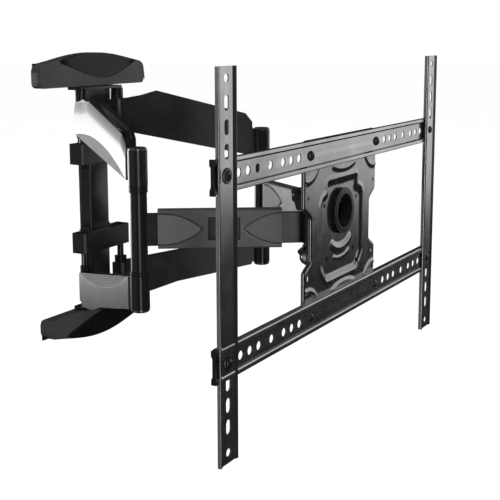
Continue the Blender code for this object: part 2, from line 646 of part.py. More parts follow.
def vesa_plate(steel):
    """Pressed tray with its edges folded back, a sunk middle, a round opening and the hole pattern."""
    outline = vesa_outline()
    half = [(44, -62), (52, -52), (60, -46), (60, 35), (42, 42), (42, 57)]
    sunk = scaled(half) + scaled([(-x, z) for x, z in reversed(half)])
    holes = [sunk]
    for side in (-1, 1):
        holes.append(circle((side * 98 * MM, 47.5 * MM), 2.6 * MM))
        holes.append(slot((side * 98 * MM, -52.4 * MM), 9 * MM, 5 * MM, True, 4))
        for z in (-RAIL_Z, RAIL_Z):
            holes.append(circle((side * RAIL_BOLT_X, z), BOLT_HOLE_R))
    plate = prism("vesa_plate", outline, VESA_PLATE[0], VESA_PLATE[1], HEAD_VIEW, holes, steel)
    skirt = prism("skirt", outline, VESA_PLATE[1] - 1 * MM, VESA_FLANGE, HEAD_VIEW, [inset(outline, SHEET)])
    panel_holes = [circle((0, RING_Z), RING_R[1] + GAP, ROUND)]
    for side in (-1, 1):
        panel_holes.append(circle((side * 48.5 * MM, 31 * MM), 2.6 * MM))
        panel_holes.append(circle((side * 41 * MM, -38 * MM), 2.6 * MM))
    floor = prism("floor", inset(sunk, -2.2 * MM), *VESA_PANEL, HEAD_VIEW, panel_holes)
    return combine(plate, "UNION", [skirt, floor])


def cable_ring(plastic):
    """Collar through the VESA plate and the tilt bracket, which the plate turns on when it is levelled."""
    bore, body, lip = RING_R
    front = VESA_PANEL[0] - GAP
    back = TILT_PLATE[1] + GAP
    centre = (0, RING_Z)
    collar = tube("cable_ring", centre, bore, body, RING_FRONT, back + 3 * MM, HEAD_VIEW, material=plastic)
    lips = [tube("front_lip", centre, bore + 1 * MM, lip, RING_FRONT + 0.6 * MM, front, HEAD_VIEW),
            tube("back_lip", centre, bore + 1 * MM, lip - 1 * MM, back, back + 2.5 * MM, HEAD_VIEW)]
    return combine(collar, "UNION", lips)


def rail(name, z, steel):
    """Pressed channel with raised rims along its edges, and its row of holes."""
    h = RAIL_HEIGHT / 2
    rim = RAIL_RIM
    half_profile = [(h, RAIL_BACK), (h, rim + 1.2 * MM), (h - 1 * MM, rim), (h - 4.5 * MM, rim),
                    (h - 7.5 * MM, rim + 1.5 * MM)]
    inner = [(h - 6.8 * MM, rim + 3.1 * MM), (h - 3.8 * MM, rim + 1.6 * MM), (h - 1.8 * MM, rim + 2 * MM),
             (h - 1.8 * MM, RAIL_BACK)]
    top = half_profile + [(-u, v) for u, v in reversed(half_profile)]
    under = [(-u, v) for u, v in reversed(inner)] + inner
    section = [(v, z + u) for u, v in top + under]
    bar = prism(name, section, -RAIL_HALF, RAIL_HALF, HEAD_SIDE, material=steel)
    holes = []
    for side in (-1, 1):
        for x in RAIL_HOLES:
            holes.append(pillar("hole", (side * x * MM, z), RAIL_HOLE_R, 0, 10 * MM, HEAD_VIEW, 16))
        for x in (RAIL_BOLT_X, BRACKET_X):
            holes.append(pillar("bolt_hole", (side * x, z), BOLT_HOLE_R, 0, 10 * MM, HEAD_VIEW, SMALL_ROUND))
    return combine(bar, "DIFFERENCE", holes)


def end_cap(name, side, z, plastic):
    """Plastic plug with a waisted plate over the end of a rail."""
    h = RAIL_HEIGHT / 2 + 0.8 * MM
    front, back = RAIL_RIM - 0.4 * MM, RAIL_BACK + 0.5 * MM
    waist = 1.6 * MM
    upper = [(back - waist, h - 9 * MM), (back, h - 6 * MM), (back, h), (front + 0.6 * MM, h), (front, h - 1 * MM),
             (front, h - 6 * MM), (front + waist, h - 9 * MM)]
    plate = upper + [(y, -u) for y, u in reversed(upper)]
    outline = [(y, z + u) for y, u in plate]
    start = RAIL_HALF + GAP
    ends = sorted((side * start, side * (start + 3 * MM)))
    cap = prism(name, outline, *ends, HEAD_SIDE, material=plastic)
    h = RAIL_HEIGHT / 2 - 3 * MM
    plug_ends = sorted((side * (start + 1 * MM), side * (start - 9 * MM)))
    plug_line = rectangle(RAIL_RIM + 3.5 * MM, z - h, RAIL_BACK - 0.5 * MM, z + h)
    plug = prism("plug", plug_line, *plug_ends, HEAD_SIDE)
    return combine(cap, "UNION", [plug])


def frame_bolt(name, place, span, washer, steel):
    """Domed bolt through a rail, with its washer."""
    front, end = span
    face = front - 0.8 * MM
    profile = [(BOLT_R, end), (BOLT_R, front), (washer, front), (washer, face), (5 * MM, face),
               (4.6 * MM, face - 0.8 * MM), (2.6 * MM, face - 1.5 * MM)]
    turned(name, place, profile, SMALL_ROUND, HEAD_VIEW, steel)


def bracket(name, x, steel):
    """Upright bracket that the screen is screwed to: shallow trough with notched flanges."""
    w = BRACKET_WIDTH / 2
    deep, sink = BRACKET_FLANGE, BRACKET_SINK
    outer = [(-w, deep), (-w, 1 * MM), (-w + 1 * MM, 0), (-w + 4 * MM, 0), (-w + 6.5 * MM, sink)]
    inner = [(-w + 7.1 * MM, sink + 1.4 * MM), (-w + 3.4 * MM, 1.4 * MM), (-w + 1.5 * MM, 2 * MM),
             (-w + 1.5 * MM, deep)]
    top = outer + [(-u, v) for u, v in reversed(outer)]
    under = [(-u, v) for u, v in reversed(inner)] + inner
    section = [(x + u, v) for u, v in top + under]
    upright = prism(name, section, -BRACKET_HALF, BRACKET_HALF, HEAD_FLAT, material=steel)
    cuts = []
    for height in BRACKET_HOLES:
        z = height * MM
        if abs(height) == 200:
            cuts.append(pillar("hole", (x, z), BRACKET_HOLE_R, -2 * MM, 6 * MM, HEAD_VIEW, 16))
        else:
            cuts.append(prism("slot", slot((x, z), *BRACKET_SLOT, True, 6), -2 * MM, 6 * MM, HEAD_VIEW))
    gap = RAIL_HEIGHT / 2 + 0.6 * MM
    for z in (-RAIL_Z, RAIL_Z):
        cuts.append(pillar("bolt_hole", (x, z), BOLT_HOLE_R, -2 * MM, 6 * MM, HEAD_VIEW, 16))
        for side in (-1, 1):
            ends = sorted((x + side * (w - 5 * MM), x + side * (w + 2 * MM)))
            notch = rectangle(RAIL_RIM - GAP, z - gap, 12 * MM, z + gap)
            cuts.append(prism("notch", notch, *ends, HEAD_SIDE))
    return combine(upright, "DIFFERENCE", cuts)


def build():
    clear_scene()
    frame_steel = finish("frame_steel", (0.045, 0.045, 0.047), 0.36, 0.6)
    arm_steel = finish("arm_steel", (0.03, 0.03, 0.032), 0.4, 0.6)
    cover_plastic = finish("cover_plastic", (0.075, 0.075, 0.078), 0.5, 0.0)
    dark_plastic = finish("dark_plastic", (0.02, 0.02, 0.021), 0.35, 0.0)
    zinc = finish("zinc_bolt", (0.62, 0.63, 0.66), 0.3, 1.0)
    black_bolt = finish("black_bolt", (0.02, 0.02, 0.02), 0.3, 0.7)

    wall_plate(arm_steel)
    wall_column(arm_steel)
    hinge_bracket("upper_hinge_bracket", UPPER_LUG, arm_steel)
    hinge_bracket("lower_hinge_bracket", LOWER_LUG, arm_steel)
    wall_cover("top", TOP_COVER, cover_plastic, dark_plastic)
    wall_cover("bottom", BOTTOM_COVER, cover_plastic, dark_plastic)

    for side, word in ((-1, "left"), (1, "right")):
        upper = (UPPER_LUG[0] + 1 * MM, UPPER_BARREL[1] + 4.3 * MM)
        lower = (LOWER_BARREL[0] - 4.3 * MM, LOWER_LUG[1] - 1 * MM)
        wall_pin(f"{word}_upper_wall_pin", side * PIN_X, upper, black_bolt)
        wall_pin(f"{word}_lower_wall_pin", side * PIN_X, lower, black_bolt)
        rear_arm(f"{word}_upper_rear_arm", side, True, arm_steel, cover_plastic)
        rear_arm(f"{word}_lower_rear_arm", side, False, arm_steel, cover_plastic)
        elbow_pin(f"{word}_elbow_pin", side, black_bolt)
        elbow_bushes(side, word, dark_plastic)
        front_arm(f"{word}_front_arm", side, arm_steel, cover_plastic)
        head_pin(f"{word}_head_pin", side * PIN_X, black_bolt)
        cross_bolt(f"{word}_tilt_pivot_bolt", side, TILT_AXIS, 6 * MM, 9 * MM, zinc)
        cross_bolt(f"{word}_tilt_lock_bolt", side, TILT_LOCK, 5.5 * MM, 9 * MM, black_bolt)
        bracket(f"{word}_vesa_bracket", side * BRACKET_X, frame_steel)

    head_yoke(arm_steel)
    swivel_pin(black_bolt)
    swivel_bracket(arm_steel)
    tilt_bracket(arm_steel)
    vesa_plate(frame_steel)
    cable_ring(dark_plastic)
    for level, z in (("top", RAIL_Z), ("bottom", -RAIL_Z)):
        rail(f"{level}_rail", z, frame_steel)
        for side, word in ((-1, "left"), (1, "right")):
            end_cap(f"{level}_rail_{word}_cap", side, z, dark_plastic)
            rail_span = (RAIL_RIM + 1.5 * MM - GAP, 14 * MM)
            frame_bolt(f"{level}_{word}_rail_bolt", (side * RAIL_BOLT_X, z), rail_span, 6 * MM, black_bolt)
            frame_bolt(f"{level}_{word}_bracket_bolt", (side * BRACKET_X, z), (BRACKET_SINK - GAP, 8 * MM),
                       8.5 * MM, black_bolt)

    set_joints()


def set_joints():
    """The moving pieces, from the wall outwards, each on the axis it turns about."""
    head = None
    for side, word in ((-1, "left"), (1, "right")):
        rear_parts = [f"{word}_{level}_rear_arm" for level in ("upper", "lower")]
        rear_parts += [f"{part}_cover" for part in rear_parts]
        rear_parts += [f"{word}_elbow_pin", f"{word}_elbow_upper_bush", f"{word}_elbow_lower_bush"]
        rear = joint(f"{word}_wall_pivot", (side * PIN_X, PIN_Y, 0), rear_parts)
        front_parts = [f"{word}_front_arm", f"{word}_front_arm_cover"]
        front = joint(f"{word}_elbow_pivot", (side * ELBOW_X, ELBOW_Y, 0), front_parts, rear)
        if side < 0:
            head_parts = ["head_yoke", "left_head_pin", "right_head_pin"]
            head = joint("left_head_pivot", (-PIN_X, HEAD_Y, 0), head_parts, front)
    swivel = joint("swivel_pivot", (0, HEAD_Y, 0), ["swivel_bracket", "swivel_pin"], head)
    tilt_parts = ["tilt_bracket", "cable_ring"]
    tilt_parts += [f"{word}_tilt_{role}_bolt" for word in ("left", "right") for role in ("pivot", "lock")]
    tilt_place = (0, FRAME_Y + TILT_AXIS[0], TILT_AXIS[1])
    tilt = joint("tilt_pivot", tilt_place, tilt_parts, swivel)
    screen_parts = ["vesa_plate", "top_rail", "bottom_rail", "left_vesa_bracket", "right_vesa_bracket"]
    for level in ("top", "bottom"):
        for word in ("left", "right"):
            screen_parts += [f"{level}_rail_{word}_cap", f"{level}_{word}_rail_bolt",
                             f"{level}_{word}_bracket_bolt"]
    joint("level_pivot", (0, FRAME_Y + VESA_PLATE[0], RING_Z), screen_parts, tilt)


build()
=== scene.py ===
"""Looks of the full motion TV wall mount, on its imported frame.

Metres, +Z up, the wall is the plane Y = 0 and the room is at -Y.
"""
import json
import math

import bmesh
import bpy
import numpy as np
from mathutils import Matrix, Vector

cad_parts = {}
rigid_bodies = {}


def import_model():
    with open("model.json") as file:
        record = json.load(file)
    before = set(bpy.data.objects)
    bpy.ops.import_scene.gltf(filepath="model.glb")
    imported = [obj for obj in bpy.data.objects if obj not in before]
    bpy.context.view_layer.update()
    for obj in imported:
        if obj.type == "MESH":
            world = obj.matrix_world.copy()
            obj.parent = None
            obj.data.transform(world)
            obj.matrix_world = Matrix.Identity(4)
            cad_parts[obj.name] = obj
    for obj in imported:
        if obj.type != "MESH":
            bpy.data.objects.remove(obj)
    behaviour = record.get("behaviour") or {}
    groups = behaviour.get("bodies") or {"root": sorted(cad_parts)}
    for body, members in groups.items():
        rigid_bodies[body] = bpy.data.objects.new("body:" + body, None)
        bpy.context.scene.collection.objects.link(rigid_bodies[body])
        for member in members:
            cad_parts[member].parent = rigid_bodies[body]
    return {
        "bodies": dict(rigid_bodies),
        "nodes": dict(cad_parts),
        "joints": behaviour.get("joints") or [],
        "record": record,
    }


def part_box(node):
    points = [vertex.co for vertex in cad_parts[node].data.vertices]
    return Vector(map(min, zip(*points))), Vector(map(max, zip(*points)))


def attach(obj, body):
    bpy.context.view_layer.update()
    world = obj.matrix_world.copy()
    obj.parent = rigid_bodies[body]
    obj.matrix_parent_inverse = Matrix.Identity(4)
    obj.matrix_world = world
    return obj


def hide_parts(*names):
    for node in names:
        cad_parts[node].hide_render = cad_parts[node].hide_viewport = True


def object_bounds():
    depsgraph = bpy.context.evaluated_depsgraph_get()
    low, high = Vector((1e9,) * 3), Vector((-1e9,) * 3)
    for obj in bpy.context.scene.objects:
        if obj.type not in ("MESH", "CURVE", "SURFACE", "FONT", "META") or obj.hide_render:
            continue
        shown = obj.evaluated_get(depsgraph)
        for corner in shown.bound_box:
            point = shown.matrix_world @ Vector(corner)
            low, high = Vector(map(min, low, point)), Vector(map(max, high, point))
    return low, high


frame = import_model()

MM = 0.001
CAD_BOX = [list(corner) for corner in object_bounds()]
NODES = frame["nodes"]
RECORD = frame["record"]
JOINTS = {joint["name"]: joint for joint in RECORD["behaviour"]["joints"]}
BODY_OF = {node: body for body, nodes in RECORD["behaviour"]["bodies"].items() for node in nodes}
SLOT_OF = {part["node"]: part["material_slot"] for part in RECORD["subparts"]}
FRAME_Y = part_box("left_vesa_bracket")[0].y
LEFT, RIGHT = -1, 1


# ---------------------------------------------------------------- shader graphs

class Graph:
    """Small helper for building the node tree of a material or of the world."""

    def __init__(self, name, world=False):
        store = bpy.data.worlds if world else bpy.data.materials
        self.material = store.new(name)
        self.material.use_nodes = True
        self.tree = self.material.node_tree
        self.shader = self.tree.nodes.get("Principled BSDF")

    def add(self, kind, inputs=None, **settings):
        node = self.tree.nodes.new(kind)
        for key, value in settings.items():
            setattr(node, key, value)
        for key, value in (inputs or {}).items():
            if isinstance(value, bpy.types.NodeSocket):
                self.tree.links.new(value, node.inputs[key])
            else:
                node.inputs[key].default_value = value
        return node

    def math(self, operation, a, b=0.0):
        return self.add("ShaderNodeMath", {0: a, 1: b}, operation=operation).outputs[0]

    def noise(self, vector, scale, detail=2.0):
        node = self.add("ShaderNodeTexNoise", {"Vector": vector, "Scale": scale, "Detail": detail})
        return node.outputs["Fac"]

    def cloud(self, vector, scale):
        """Soft patches from 0 to 1."""
        return self.spread(self.noise(vector, scale, 3.0), 0.35, 0.65, 0.0, 1.0)

    def spread(self, value, low, high, to_low, to_high, shape="LINEAR"):
        limits = {"Value": value, "From Min": low, "From Max": high, "To Min": to_low, "To Max": to_high}
        return self.add("ShaderNodeMapRange", limits, interpolation_type=shape).outputs["Result"]

    def blend(self, factor, a, b):
        node = self.add("ShaderNodeMix", data_type="RGBA")
        for key, value in ((0, factor), (6, a), (7, b)):
            if isinstance(value, bpy.types.NodeSocket):
                self.tree.links.new(value, node.inputs[key])
            else:
                node.inputs[key].default_value = value
        return node.outputs[2]

    def bump(self, height, distance, strength):
        inputs = {"Height": height, "Distance": distance, "Strength": strength}
        return self.add("ShaderNodeBump", inputs).outputs["Normal"]

    def vector(self, operation, a, b=(0, 0, 0)):
        return self.add("ShaderNodeVectorMath", {0: a, 1: b}, operation=operation)

    def connect(self, **sockets):
        for key, value in sockets.items():
            name = key.replace("_", " ")
            if isinstance(value, bpy.types.NodeSocket):
                self.tree.links.new(value, self.shader.inputs[name])
            else:
                self.shader.inputs[name].default_value = value


def grey(value):
    return (value, value, value, 1.0)


# Scales of the fine textures, in features per metre
FINE_GRAIN, ORANGE_PEEL, TOOL_MARKS = 1400, 420, 1800


def powder_coat(name, dark, light, roughness, metallic, grain=0.12):
    """Satin powder coat: fine orange peel, cloudy tone, and convex edges made a little lighter in patches.
    """
    g = Graph(name)
    place = g.add("ShaderNodeTexCoord").outputs["Object"]
    cloud = g.noise(place, 14.0, 3.0)
    base = g.blend(g.spread(cloud, 0.35, 0.65, 0.0, 1.0), grey(dark), grey(light))
    # Convex edges, found by pointiness, are blended a little lighter in patches.
    point = g.add("ShaderNodeNewGeometry").outputs["Pointiness"]
    edges = g.spread(point, 0.53, 0.62, 0.0, 0.35)
    edge_lightening = g.math("MULTIPLY", edges, g.spread(cloud, 0.4, 0.6, 0.4, 1.0))
    base = g.blend(edge_lightening, base, grey(min(1.0, light * 1.9)))
    rough = g.spread(g.noise(place, 60.0, 4.0), 0.3, 0.7, roughness - 0.03, roughness + 0.04)
    peel = g.bump(g.noise(place, ORANGE_PEEL), 0.02 * MM, grain)
    g.connect(Base_Color=base, Roughness=rough, Metallic=metallic, Normal=peel)
    return g.material


def plastic(name, dark, light, roughness, specular):
    """Moulded plastic with a faint flow pattern and fine surface grain."""
    g = Graph(name)
    place = g.add("ShaderNodeTexCoord").outputs["Object"]
    base = g.blend(g.cloud(place, 22.0), grey(dark), grey(light))
    rough = g.spread(g.noise(place, 90.0, 3.0), 0.3, 0.7, roughness - 0.04, roughness + 0.05)
    fine = g.bump(g.noise(place, FINE_GRAIN), 0.01 * MM, 0.3)
    g.connect(Base_Color=base, Roughness=rough, Normal=fine, Specular_IOR_Level=specular)
    return g.material


def bolt_metal(name, tone, roughness, metallic):
    """Plated steel: fine tool marks and a few dull patches."""
    g = Graph(name)
    place = g.add("ShaderNodeTexCoord").outputs["Object"]
    patch = g.noise(place, 160.0, 3.0)
    base = g.blend(g.spread(patch, 0.35, 0.65, 0.0, 1.0), grey(tone * 0.85), grey(tone * 1.1))
    rough = g.spread(patch, 0.3, 0.7, roughness - 0.05, roughness + 0.08)
    marks = g.bump(g.noise(place, TOOL_MARKS), 0.01 * MM, 0.3)
    g.connect(Base_Color=base, Roughness=rough, Metallic=metallic, Normal=marks)
    return g.material


FINISH = {
    "frame_steel": powder_coat("frame_steel_coat", 0.24, 0.28, 0.17, 0.97, 0.06),
    "arm_steel": powder_coat("arm_steel_coat", 0.005, 0.008, 0.23, 0.3),
    "cover_plastic": plastic("cover_moulded", 0.028, 0.038, 0.34, 0.22),
    "dark_plastic": plastic("dark_moulded", 0.004, 0.007, 0.24, 0.18),
    "zinc_bolt": bolt_metal("zinc_plate", 0.75, 0.25, 1.0),
    "black_bolt": bolt_metal("black_oxide", 0.008, 0.22, 0.2),
}


# ---------------------------------------------------------------- mesh helpers

def arc(centre, radius, start, stop, steps):
    """Points on an arc, angles in degrees."""
    angles = [math.radians(start + (stop - start) * i / steps) for i in range(steps + 1)]
    return [(centre[0] + radius * math.cos(a), centre[1] + radius * math.sin(a)) for a in angles]


def scaled(points):
    return [(u * MM, v * MM) for u, v in points]


def inset(outline, distance):
    """Moves each point of an anticlockwise outline inwards."""
    moved = []
    for i, point in enumerate(outline):
        here = Vector(point)
        before = (here - Vector(outline[i - 1])).normalized()
        after = (Vector(outline[(i + 1) % len(outline)]) - here).normalized()
        normal = Vector((-before.y, before.x)) + Vector((-after.y, after.x))
        normal /= max(normal.length_squared / 2, 0.5)
        moved.append(tuple(here + normal * distance))
    return moved


def ease(t):
    t = np.clip(t, 0.0, 1.0)
    return t * t * (3 - 2 * t)


def outline_distance(u, v, points):
    """Distance of each (u, v) from a closed outline, negative inside it."""
    best = np.full(u.shape, 1e9)
    inside = np.zeros(u.shape, bool)
    for (x0, y0), (x1, y1) in zip(points, points[1:] + points[:1]):
        dx, dy = x1 - x0, y1 - y0
        t = np.clip(((u - x0) * dx + (v - y0) * dy) / (dx * dx + dy * dy), 0, 1)
        best = np.minimum(best, np.hypot(u - x0 - t * dx, v - y0 - t * dy))
        crossing = (y0 > v) != (y1 > v)
        inside ^= crossing & (u < x0 + dx * (v - y0) / (dy if dy else 1e-12))
    return np.where(inside, -best, best)


def arc_distance(u, v, centre, radius, start, stop):
    """Distance of each (u, v) from an arc, angles in degrees."""
    middle, half = (start + stop) / 2, abs(stop - start) / 2
    angle = np.degrees(np.arctan2(v - centre[1], u - centre[0]))
    turn = np.clip((angle - middle + 180) % 360 - 180, -half, half)
    near = np.radians(middle + turn)
    return np.hypot(u - centre[0] - radius * np.cos(near), v - centre[1] - radius * np.sin(near))


def bead(distance, width):
    """Rounded ridge of height 1 along a line."""
    return np.cos(np.clip(distance / width, 0, 1) * math.pi) * 0.5 + 0.5


EDGE = 0.5 * MM                     # width of the rounded edges of most pieces
CREASE = 35                         # degrees: sharper bends are edges, gentler ones are shaded smooth


def piece_from(bm, name, frame=None, angle=CREASE):
    """A bmesh, which may be in a local frame, as a smooth-shaded object."""
    if frame is not None:
        bm.transform(frame)
    bmesh.ops.recalc_face_normals(bm, faces=bm.faces)
    mesh = bpy.data.meshes.new(name)
    bm.to_mesh(mesh)
    bm.free()
    mesh.shade_smooth()
    mesh.set_sharp_from_angle(angle=math.radians(angle))
    thing = bpy.data.objects.new(name, mesh)
    bpy.context.collection.objects.link(thing)
    return thing


def thicken(thing, gauge):
    """Gives a skin its sheet thickness, with clean corners at its rims."""
    sharpen_rims(thing)
    shell = thing.modifiers.new("gauge", "SOLIDIFY")
    shell.thickness = gauge
    shell.offset = -1
    return shell


def sharpen_rims(thing):
    """Marks the open edges of a skin as sharp, so that its thickness later meets it at a clean corner."""
    mesh = thing.data
    used = np.empty(len(mesh.loops), dtype=np.int32)
    mesh.loops.foreach_get("edge_index", used)
    sharp = np.bincount(used, minlength=len(mesh.edges)) == 1
    marks = mesh.attributes.get("sharp_edge") or mesh.attributes.new("sharp_edge", "BOOLEAN", "EDGE")
    bends = np.empty(len(mesh.edges), dtype=bool)
    marks.data.foreach_get("value", bends)
    marks.data.foreach_set("value", sharp | bends)


def round_edges(thing, width, segments=2):
    """Rounds a piece's sharp edges with a modifier."""
    edge = thing.modifiers.new("edges", "BEVEL")
    edge.width = width
    edge.segments = segments
    edge.limit_method = "ANGLE"
    edge.angle_limit = math.radians(CREASE)
    edge.use_clamp_overlap = True
    edge.harden_normals = True


def settle(thing, body, node=None, material=None, slot=None):
    """Gives a piece its place in the model: material, body, and the CAD node it stands for."""
    thing.data.materials.clear()
    thing.data.materials.append(material or FINISH[slot or SLOT_OF[node]])
    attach(thing, body)
    if node is not None:
        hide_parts(node)


def clean_copy(node):
    """A CAD node's own faces, welded and with its flat faces whole again."""
    bm = bmesh.new()
    bm.from_mesh(NODES[node].data)
    bmesh.ops.remove_doubles(bm, verts=bm.verts, dist=0.00002)
    bmesh.ops.dissolve_limit(bm, angle_limit=math.radians(0.5), verts=bm.verts, edges=bm.edges)
    return bm


def refine(node, material=None):
    """A CAD node's own shape with clean flat faces and rounded edges."""
    thing = piece_from(clean_copy(node), f"{node}_look")
    round_edges(thing, EDGE)
    settle(thing, BODY_OF[node], node, material)


CUT_SNAP = 0.005 * MM               # points this near a cutting plane count as on it


def slice_mesh(bm, axis, places):
    """Cuts a mesh with a row of planes across one of its local axes (0, 1, or a direction)."""
    normal = Vector((1, 0, 0)) if axis == 0 else Vector((0, 1, 0)) if axis == 1 else Vector(axis)
    for place in places:
        geometry = bm.verts[:] + bm.edges[:] + bm.faces[:]
        bmesh.ops.bisect_plane(bm, geom=geometry, dist=CUT_SNAP, plane_co=normal * place, plane_no=normal)


def evenly(low, high, step):
    count = max(1, round((high - low) / step))
    return [low + (high - low) * i / count for i in range(count + 1)]


def press(bm, level, relief, near=0.05 * MM):
    """Moves the points that lie at a level of the third axis by relief(u, v)."""
    verts = [vert for vert in bm.verts if abs(vert.co.z - level) < near]
    u = np.array([vert.co.x for vert in verts])
    v = np.array([vert.co.y for vert in verts])
    for vert, shift in zip(verts, relief(u, v)):
        vert.co.z += float(shift)


def frame_from(place, u, v, w):
    """Local frame at a place, from its three axes."""
    return Matrix.Translation(place) @ Matrix((u, v, w)).transposed().to_4x4()


X, Y, Z = Vector((1, 0, 0)), Vector((0, 1, 0)), Vector((0, 0, 1))
HEAD_VIEW = frame_from((0, FRAME_Y, 0), X, Z, Y)          # across, up, towards the wall
BRACKET_VIEW = frame_from((0, FRAME_Y, 0), Z, X, Y)       # up, across, towards the wall
WALL_VIEW = frame_from((0, 0, 0), X, Z, Y)
DONE = set()
WORD = {LEFT: "left", RIGHT: "right"}


# ---------------------------------------------------------------- VESA plate

def vesa_outline():
    """Plate outline, anticlockwise: wide ears at the rails and a waist between them."""
    ear, waist, tall = 109, 90, 118
    steps = 12
    right = arc((ear - 8, -tall + 8), 8, -90, 0, 5)
    for z0, z1, x0, x1 in ((-46, -30, ear, waist), (19, 37, waist, ear)):
        for i in range(steps + 1):
            t = i / steps
            right.append((x0 + (x1 - x0) * (0.5 - 0.5 * math.cos(math.pi * t)), z0 + (z1 - z0) * t))
    right += arc((ear - 8, tall - 8), 8, 0, 90, 5)
    return right + [(-x, z) for x, z in reversed(right)]


SUNK_HALF = [(44, -62), (55, -51), (60, -45), (60, 33), (56, 39), (44, 43), (42, 46), (42, 58)]
SUNK = SUNK_HALF + [(-x, z) for x, z in reversed(SUNK_HALF)]
RING_CENTRE = (0, 19)


def vesa_relief(u, v):
    """Depth of the pressing at each point, in millimetres, positive towards the wall."""
    rim = outline_distance(u, v, SUNK)
    sunk = 2.4 * ease(0.5 - rim / 6.5)
    ridge = -0.9 * bead(np.abs(rim - 5.5), 4.5)
    smile = -2.2 * bead(arc_distance(u, v, RING_CENTRE, 49, -122, -55), 6.5)
    second = -0.9 * bead(arc_distance(u, v, RING_CENTRE, 62, -108, -66), 3)
    arch = -1.7 * bead(arc_distance(u, v, (4.5, -167), 91, 64, 117), 5)
    top = -1.5 * bead(arc_distance(u, v, (4, 172), 98, -109, -71), 5)
    total = sunk + ridge + smile + second + arch + top
    for x in (-100, 100):
        for z in (-100, 100):
            centre = math.degrees(math.atan2(-z, -x))
            total += -1.3 * bead(arc_distance(u, v, (x, z), 32, centre - 62, centre + 62), 4.5)
    return total


def hole_loop(centre, radius, sides=24):
    """Outline of a round hole."""
    return arc(centre, radius, 0, 360, sides)[:-1]


def slot_loop(centre, length, width):
    """Outline of an upright slot with round ends."""
    r, run = width / 2, (length - width) / 2
    x, y = centre
    return arc((x, y + run), r, 0, 180, 10) + arc((x, y - run), r, 180, 360, 10)


PLATE_GRID = 2.1 * MM                           # spacing of the points that the pressing moves


def vesa_plate():
    """Pressed steel tray: rounded rim, sunk middle, beads, and the hole pattern."""
    front, back = [corner.y - FRAME_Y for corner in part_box("vesa_plate")]
    rim, gauge = 3.4 * MM, 1.9 * MM
    outline = scaled(vesa_outline())
    holes = [scaled(hole_loop(RING_CENTRE, 27))]
    for side in (-1, 1):
        holes.append(scaled(hole_loop((side * 98, 47.5), 2.7)))
        holes.append(scaled(slot_loop((side * 98, -52.4), 9, 5)))
        holes.append(scaled(hole_loop((side * 48.5, 31), 2.7)))
        holes.append(scaled(hole_loop((side * 41, -38), 2.7)))
        holes.append(scaled(slot_loop((side * 49.5, -57.5), 8, 4.6)))
        for z in (-100, 100):
            holes.append(scaled(hole_loop((side * 100, z), 3.3)))
    bm = bmesh.new()
    rings = [[bm.verts.new((u, v, back)) for u, v in outline]]
    turns = 5
    for i in range(turns + 1):
        a = math.pi / 2 * i / turns
        line = inset(outline, rim * (1 - math.cos(a)))
        rings.append([bm.verts.new((u, v, front + rim * (1 - math.sin(a)))) for u, v in line])
    count = len(outline)
    for lower, upper in zip(rings, rings[1:]):
        for i in range(count):
            j = (i + 1) % count
            bm.faces.new((lower[i], lower[j], upper[j], upper[i]))
    edges = [bm.edges.get((rings[-1][i], rings[-1][(i + 1) % count])) for i in range(count)]
    for loop in holes:
        verts = [bm.verts.new((u, v, front)) for u, v in loop]
        edges += [bm.edges.new((vert, verts[(i + 1) % len(verts)])) for i, vert in enumerate(verts)]
    bmesh.ops.triangle_fill(bm, use_beauty=True, use_dissolve=False, edges=edges)
    for axis, reach in ((0, 106 * MM), (1, 115 * MM)):
        slice_mesh(bm, axis, evenly(-reach, reach, PLATE_GRID))
    press(bm, front, lambda u, v: vesa_relief(u / MM, v / MM) * MM, 0.001 * MM)
    thing = piece_from(bm, "vesa_plate_look", HEAD_VIEW)
    thicken(thing, gauge)
    settle(thing, BODY_OF["vesa_plate"], "vesa_plate", PLATE_COAT)
    DONE.add("vesa_plate")


PLATE_COAT = powder_coat("plate_coat", 0.19, 0.225, 0.16, 0.97, 0.12)
vesa_plate()


# ---------------------------------------------------------------- rails and brackets

CHANNEL_CREASE = 18                             # degrees


def edge_between(bm, a, b):
    return bm.edges.get((a, b)) or bm.edges.new((a, b))


def channel(name, section, web, spans, holes, frame, gauge):
    """Pressed channel along its first axis. Section points are (across, depth), and the stretch that
    follows point number web holds the holes. A span is (start, stop, notched), and a notched one has no
    flange edges."""
    bm = bmesh.new()
    stations = [spans[0][0]] + [stop for start, stop, notched in spans]
    rows = [[bm.verts.new((u, v, w)) for v, w in section] for u in stations]
    last = len(section) - 2
    edges = []
    for (start, stop, notched), here, there in zip(spans, rows, rows[1:]):
        for k in range(last + 1):
            if k != web and not (notched and k in (0, last)):
                bm.faces.new((here[k], there[k], there[k + 1], here[k + 1]))
        edges += [edge_between(bm, here[k], there[k]) for k in (web, web + 1)]
    edges += [edge_between(bm, row[web], row[web + 1]) for row in (rows[0], rows[-1])]
    depth = section[web][1]
    for loop in holes:
        verts = [bm.verts.new((u, v, depth)) for u, v in loop]
        edges += [bm.edges.new((vert, verts[(i + 1) % len(verts)])) for i, vert in enumerate(verts)]
    bmesh.ops.triangle_fill(bm, use_beauty=True, use_dissolve=False, edges=edges)
    loose = [edge for edge in bm.edges if not edge.link_faces]
    bmesh.ops.delete(bm, geom=loose, context="EDGES")
    loose = [vert for vert in bm.verts if not vert.link_faces]
    bmesh.ops.delete(bm, geom=loose, context="VERTS")
    thing = piece_from(bm, name, frame, CHANNEL_CREASE)
    thicken(thing, gauge).use_even_offset = True
    normals = thing.modifiers.new("normals", "WEIGHTED_NORMAL")
    normals.keep_sharp = True
    return thing


